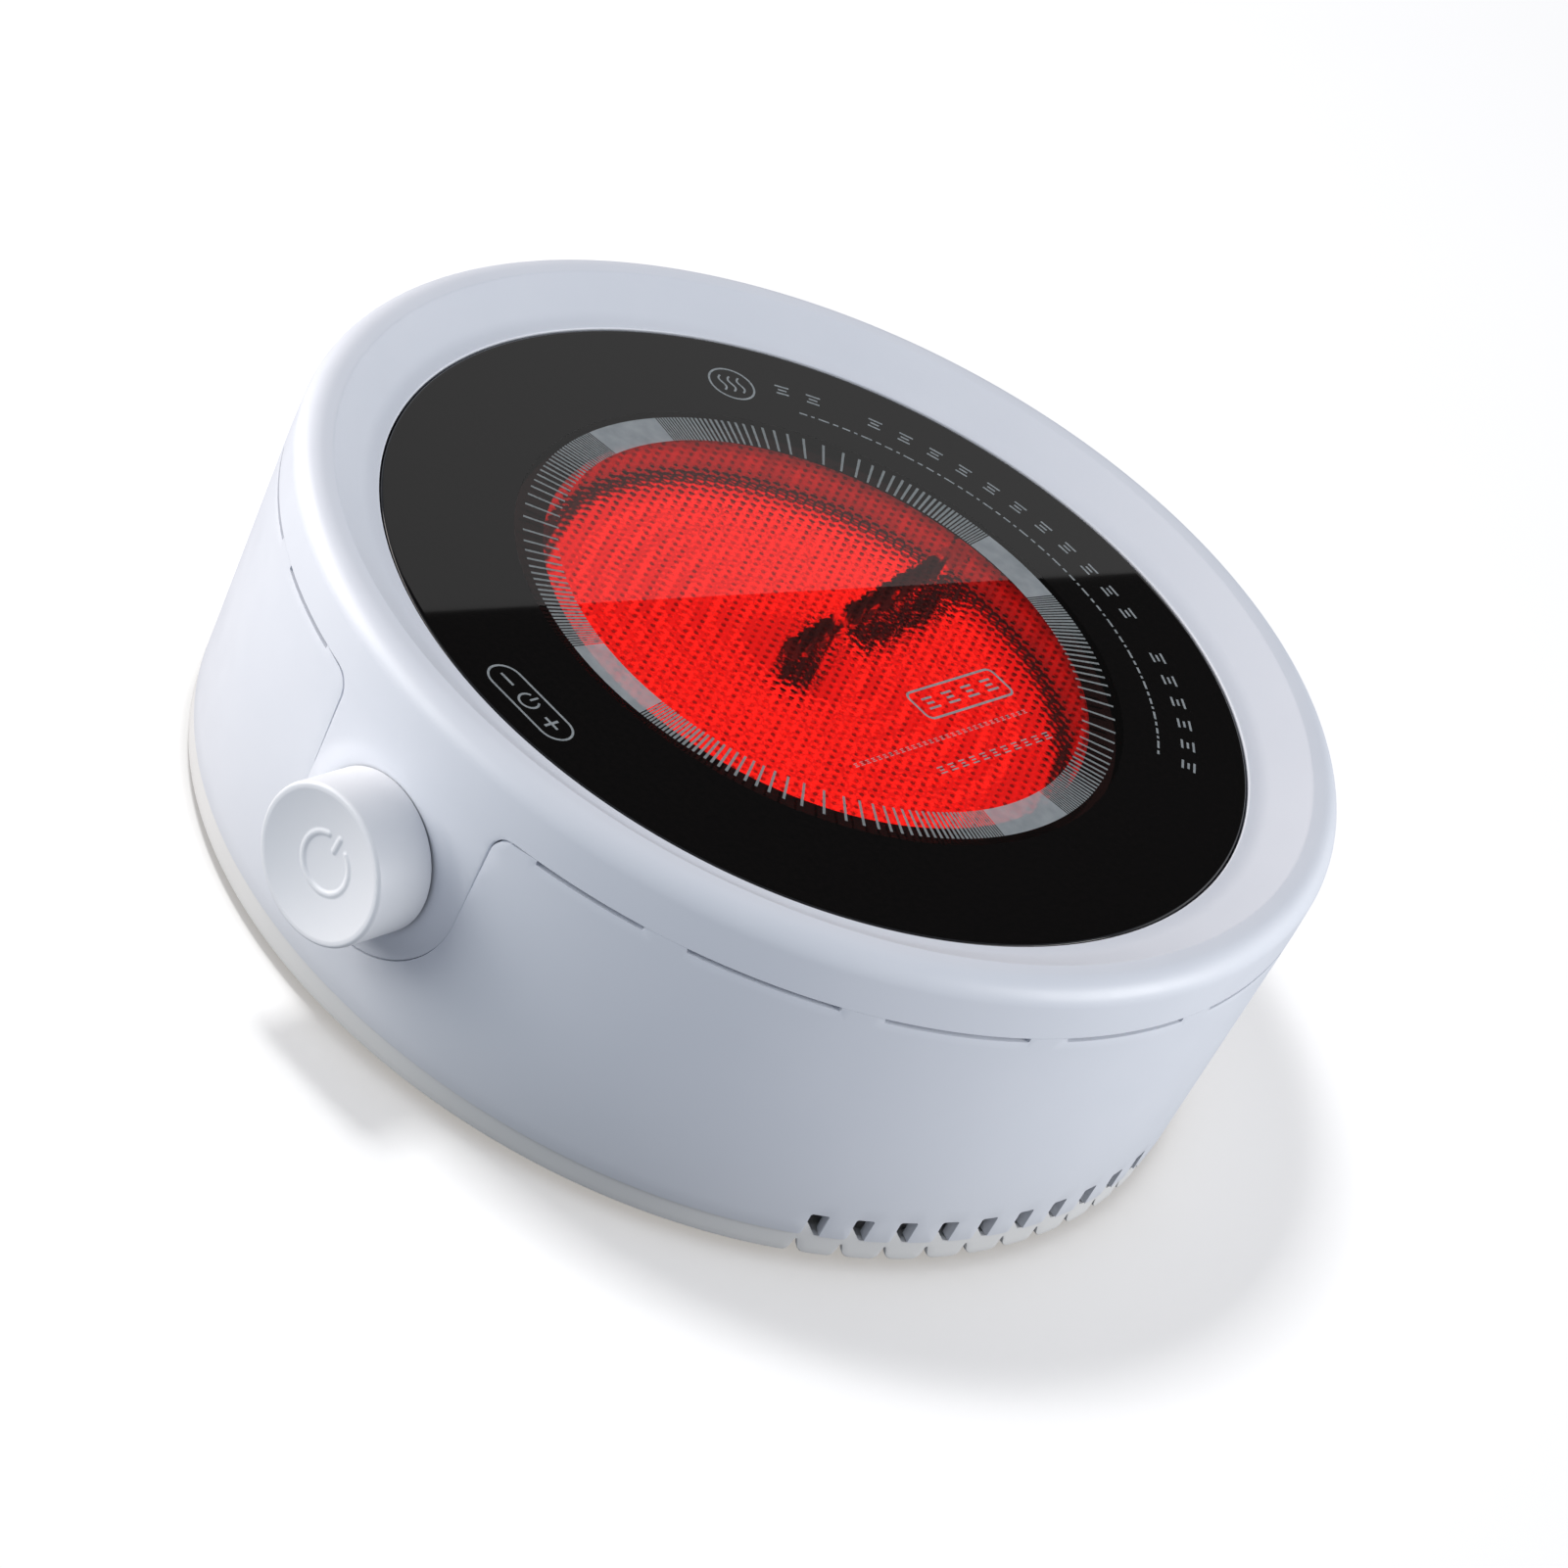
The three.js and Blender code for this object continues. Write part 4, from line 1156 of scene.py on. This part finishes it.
# ---- Studio -----------------------------------------------------------------------------------
CAMERA_TURN = 29.5  # degrees from the knob side towards +X
CAMERA_ELEVATION = 31.774
CAMERA_DISTANCE = 828.9
CAMERA_ROLL = 27.195
CAMERA_YAW = 0.488
CAMERA_PITCH = -2.014
CAMERA_LENS = 107.3
SKY = (0.818, 0.879, 1.0)
SKY_STRENGTH = 0.414
FLOOR_HALF = 4  # metres
FLOOR_TINT = (1.0, 0.95, 0.88)
FLOOR_GLOW = 0.38
SHADE_RADIUS = 135
CARD_GLOW = 0.42  # the card that the upper part of the glass mirrors
DARK_CARD_GLOW = 0.04
CARD_DISTANCE = 600
CARD_SIDES = (-320, 420)
CARD_LOW = 150
CARD_HIGH = 900
CARD_LINE = 421.233  # height of the line between the cards, straight behind the object
CARD_SLOPE = 0.684466


def camera():
    el, yaw, pitch, roll = (rad(a) for a in (CAMERA_ELEVATION, CAMERA_YAW, CAMERA_PITCH, CAMERA_ROLL))
    back = Vector((0, -math.cos(el), math.sin(el)))
    right = Vector((1, 0, 0))
    up = right.cross(-back)
    forward = (-back * math.cos(yaw) * math.cos(pitch) + right * math.sin(yaw) * math.cos(pitch)
               + up * math.sin(pitch)).normalized()
    side = forward.cross(up).normalized()
    above = side.cross(forward)
    right = side * math.cos(roll) + above * math.sin(roll)
    above = above * math.cos(roll) - side * math.sin(roll)
    turn = Matrix.Rotation(rad(CAMERA_TURN), 3, "Z")
    axes = turn @ Matrix((right, above, -forward)).transposed()
    data = bpy.data.cameras.new("camera")
    data.lens = CAMERA_LENS
    data.clip_start = 0.01
    eye = bpy.data.objects.new("camera", data)
    eye.matrix_world = Matrix.Translation(
        turn @ back * CAMERA_DISTANCE * MM + Vector((0, AXIS_Y, GLASS_TOP * MM))) @ axes.to_4x4()
    bpy.context.scene.collection.objects.link(eye)
    bpy.context.scene.camera = eye


def soft_light(name, azimuth, elevation, distance, size, power, colour=(1, 1, 1)):
    """A square lamp that looks at the object; azimuth is counted from +X towards +Y."""
    data = bpy.data.lights.new(name, "AREA")
    data.shape = "RECTANGLE"
    data.size = data.size_y = size
    data.energy = power
    data.color = colour
    lamp = bpy.data.objects.new(name, data)
    a, e = rad(azimuth), rad(elevation)
    away = Vector((math.cos(a) * math.cos(e), math.sin(a) * math.cos(e), math.sin(e)))
    lamp.location = away * distance + Vector((0, AXIS_Y, 0.04))
    lamp.rotation_euler = away.to_track_quat("Z", "Y").to_euler()
    bpy.context.scene.collection.objects.link(lamp)
    return lamp


def unseen(piece, *kinds):
    """Hides a piece from some kinds of ray."""
    for kind in kinds:
        setattr(piece, "visible_" + kind, False)


def sheet(name, corners, material):
    mesh = bpy.data.meshes.new(name)
    mesh.from_pydata(corners, [], [list(range(len(corners)))])
    mesh.materials.append(material)
    piece = bpy.data.objects.new(name, mesh)
    bpy.context.scene.collection.objects.link(piece)
    return piece


def floor():
    """Pale paper that sends no light back to the object, as if it lay further away."""
    f = Finish("floor_paper", Roughness=0.9, Specular_IOR_Level=0.0)
    f.colour((0.86, 0.86, 0.86), (0.88, 0.88, 0.88), 300)
    f.shader.inputs["Emission Color"].default_value = (*FLOOR_TINT, 1)
    f.shader.inputs["Emission Strength"].default_value = FLOOR_GLOW
    corners = [(x * FLOOR_HALF, y * FLOOR_HALF, 0) for x, y in ((-1, -1), (1, -1), (1, 1), (-1, 1))]
    paper = sheet("floor", corners, f.material)
    unseen(paper, "diffuse", "glossy")
    return paper


def contact_shade():
    """A dark disc on the floor, met only by light that bounces, for the shadow under the object."""
    f = Finish("contact_shade", Roughness=1.0, Specular_IOR_Level=0.0)
    f.colour((0.01, 0.01, 0.01), (0.02, 0.02, 0.02), 20)
    ring = [(x * MM, y * MM + AXIS_Y, -0.0002) for x, y in circle(SHADE_RADIUS, 64)]
    disc = sheet("shade_disc", ring, f.material)
    unseen(disc, "camera", "glossy", "shadow", "transmission")


def lights_only(lamp, paper, state):
    """Keeps a lamp to the floor (INCLUDE) or to everything but the floor (EXCLUDE)."""
    group = bpy.data.collections.new(lamp.name + "_lit")
    group.objects.link(paper)
    group.collection_objects[0].light_linking.link_state = state
    lamp.light_linking.receiver_collection = group


def emitter(name, colour, strength):
    material = bpy.data.materials.new(name)
    material.use_nodes = True
    nodes = material.node_tree.nodes
    nodes.clear()
    lamp = nodes.new("ShaderNodeEmission")
    lamp.inputs["Color"].default_value = (*colour, 1)
    lamp.inputs["Strength"].default_value = strength
    out = nodes.new("ShaderNodeOutputMaterial")
    material.node_tree.links.new(lamp.outputs[0], out.inputs["Surface"])
    return material


def reflected_cards():
    """A pale card and a dark one above it, behind the object and seen only as reflections in the glass.
    They meet in a slanted line."""
    heading = Vector((math.cos(rad(90 + CAMERA_TURN)), math.sin(rad(90 + CAMERA_TURN)), 0))
    side = Vector((-heading.y, heading.x, 0))
    first, last = CARD_SIDES
    near, far = (CARD_LINE + s * CARD_SLOPE for s in CARD_SIDES)
    pale = [(first, CARD_LOW), (last, CARD_LOW), (last, far), (first, near)]
    dark = [(first, near), (last, far), (last, CARD_HIGH), (first, CARD_HIGH)]
    for name, corners, level in (("pale_card", pale, CARD_GLOW), ("dark_card", dark, DARK_CARD_GLOW)):
        points = [heading * CARD_DISTANCE + side * s + Vector((0, 0, z)) for s, z in corners]
        card = sheet(name, [(p.x * MM, p.y * MM + AXIS_Y, p.z * MM) for p in points],
                     emitter(name, (1, 1, 1), level))
        unseen(card, "camera", "diffuse", "shadow", "transmission")


def world():
    sky = bpy.data.worlds.new("studio")
    sky.use_nodes = True
    sky.node_tree.nodes["Background"].inputs["Color"].default_value = (*SKY, 1)
    sky.node_tree.nodes["Background"].inputs["Strength"].default_value = SKY_STRENGTH
    bpy.context.scene.world = sky
    bpy.context.scene.view_settings.view_transform = "Standard"


def studio():
    camera()
    world()
    paper = floor()
    contact_shade()
    reflected_cards()
    lights_only(soft_light("overhead", -165, 66, 1.6, 0.3, 12), paper, "INCLUDE")
    for lamp in (
        soft_light("left", -160, 12, 1.2, 0.9, 13.1, (1.0, 0.9, 0.84)),
        soft_light("left_front", -125, 15, 1.2, 0.7, 5.6, (0.96, 1.0, 0.99)),
        soft_light("right", 25, 18, 1.2, 0.7, 9.4, (1.0, 0.995, 0.98)),
        soft_light("right_back", 70, 18, 1.2, 0.7, 1.3),
    ):
        lights_only(lamp, paper, "EXCLUDE")


dress_nodes()
upper_shell()
side_skirt()
bottom_cover()
knob_cap()
glass_plate()
glass_print()
heating_coil()
fibre_parts()
limiter()
frame["nodes"]["fibre_ring"].data.materials[0] = WALL_PAINTED_GLOW
feet()
screws()
gland()
studio()
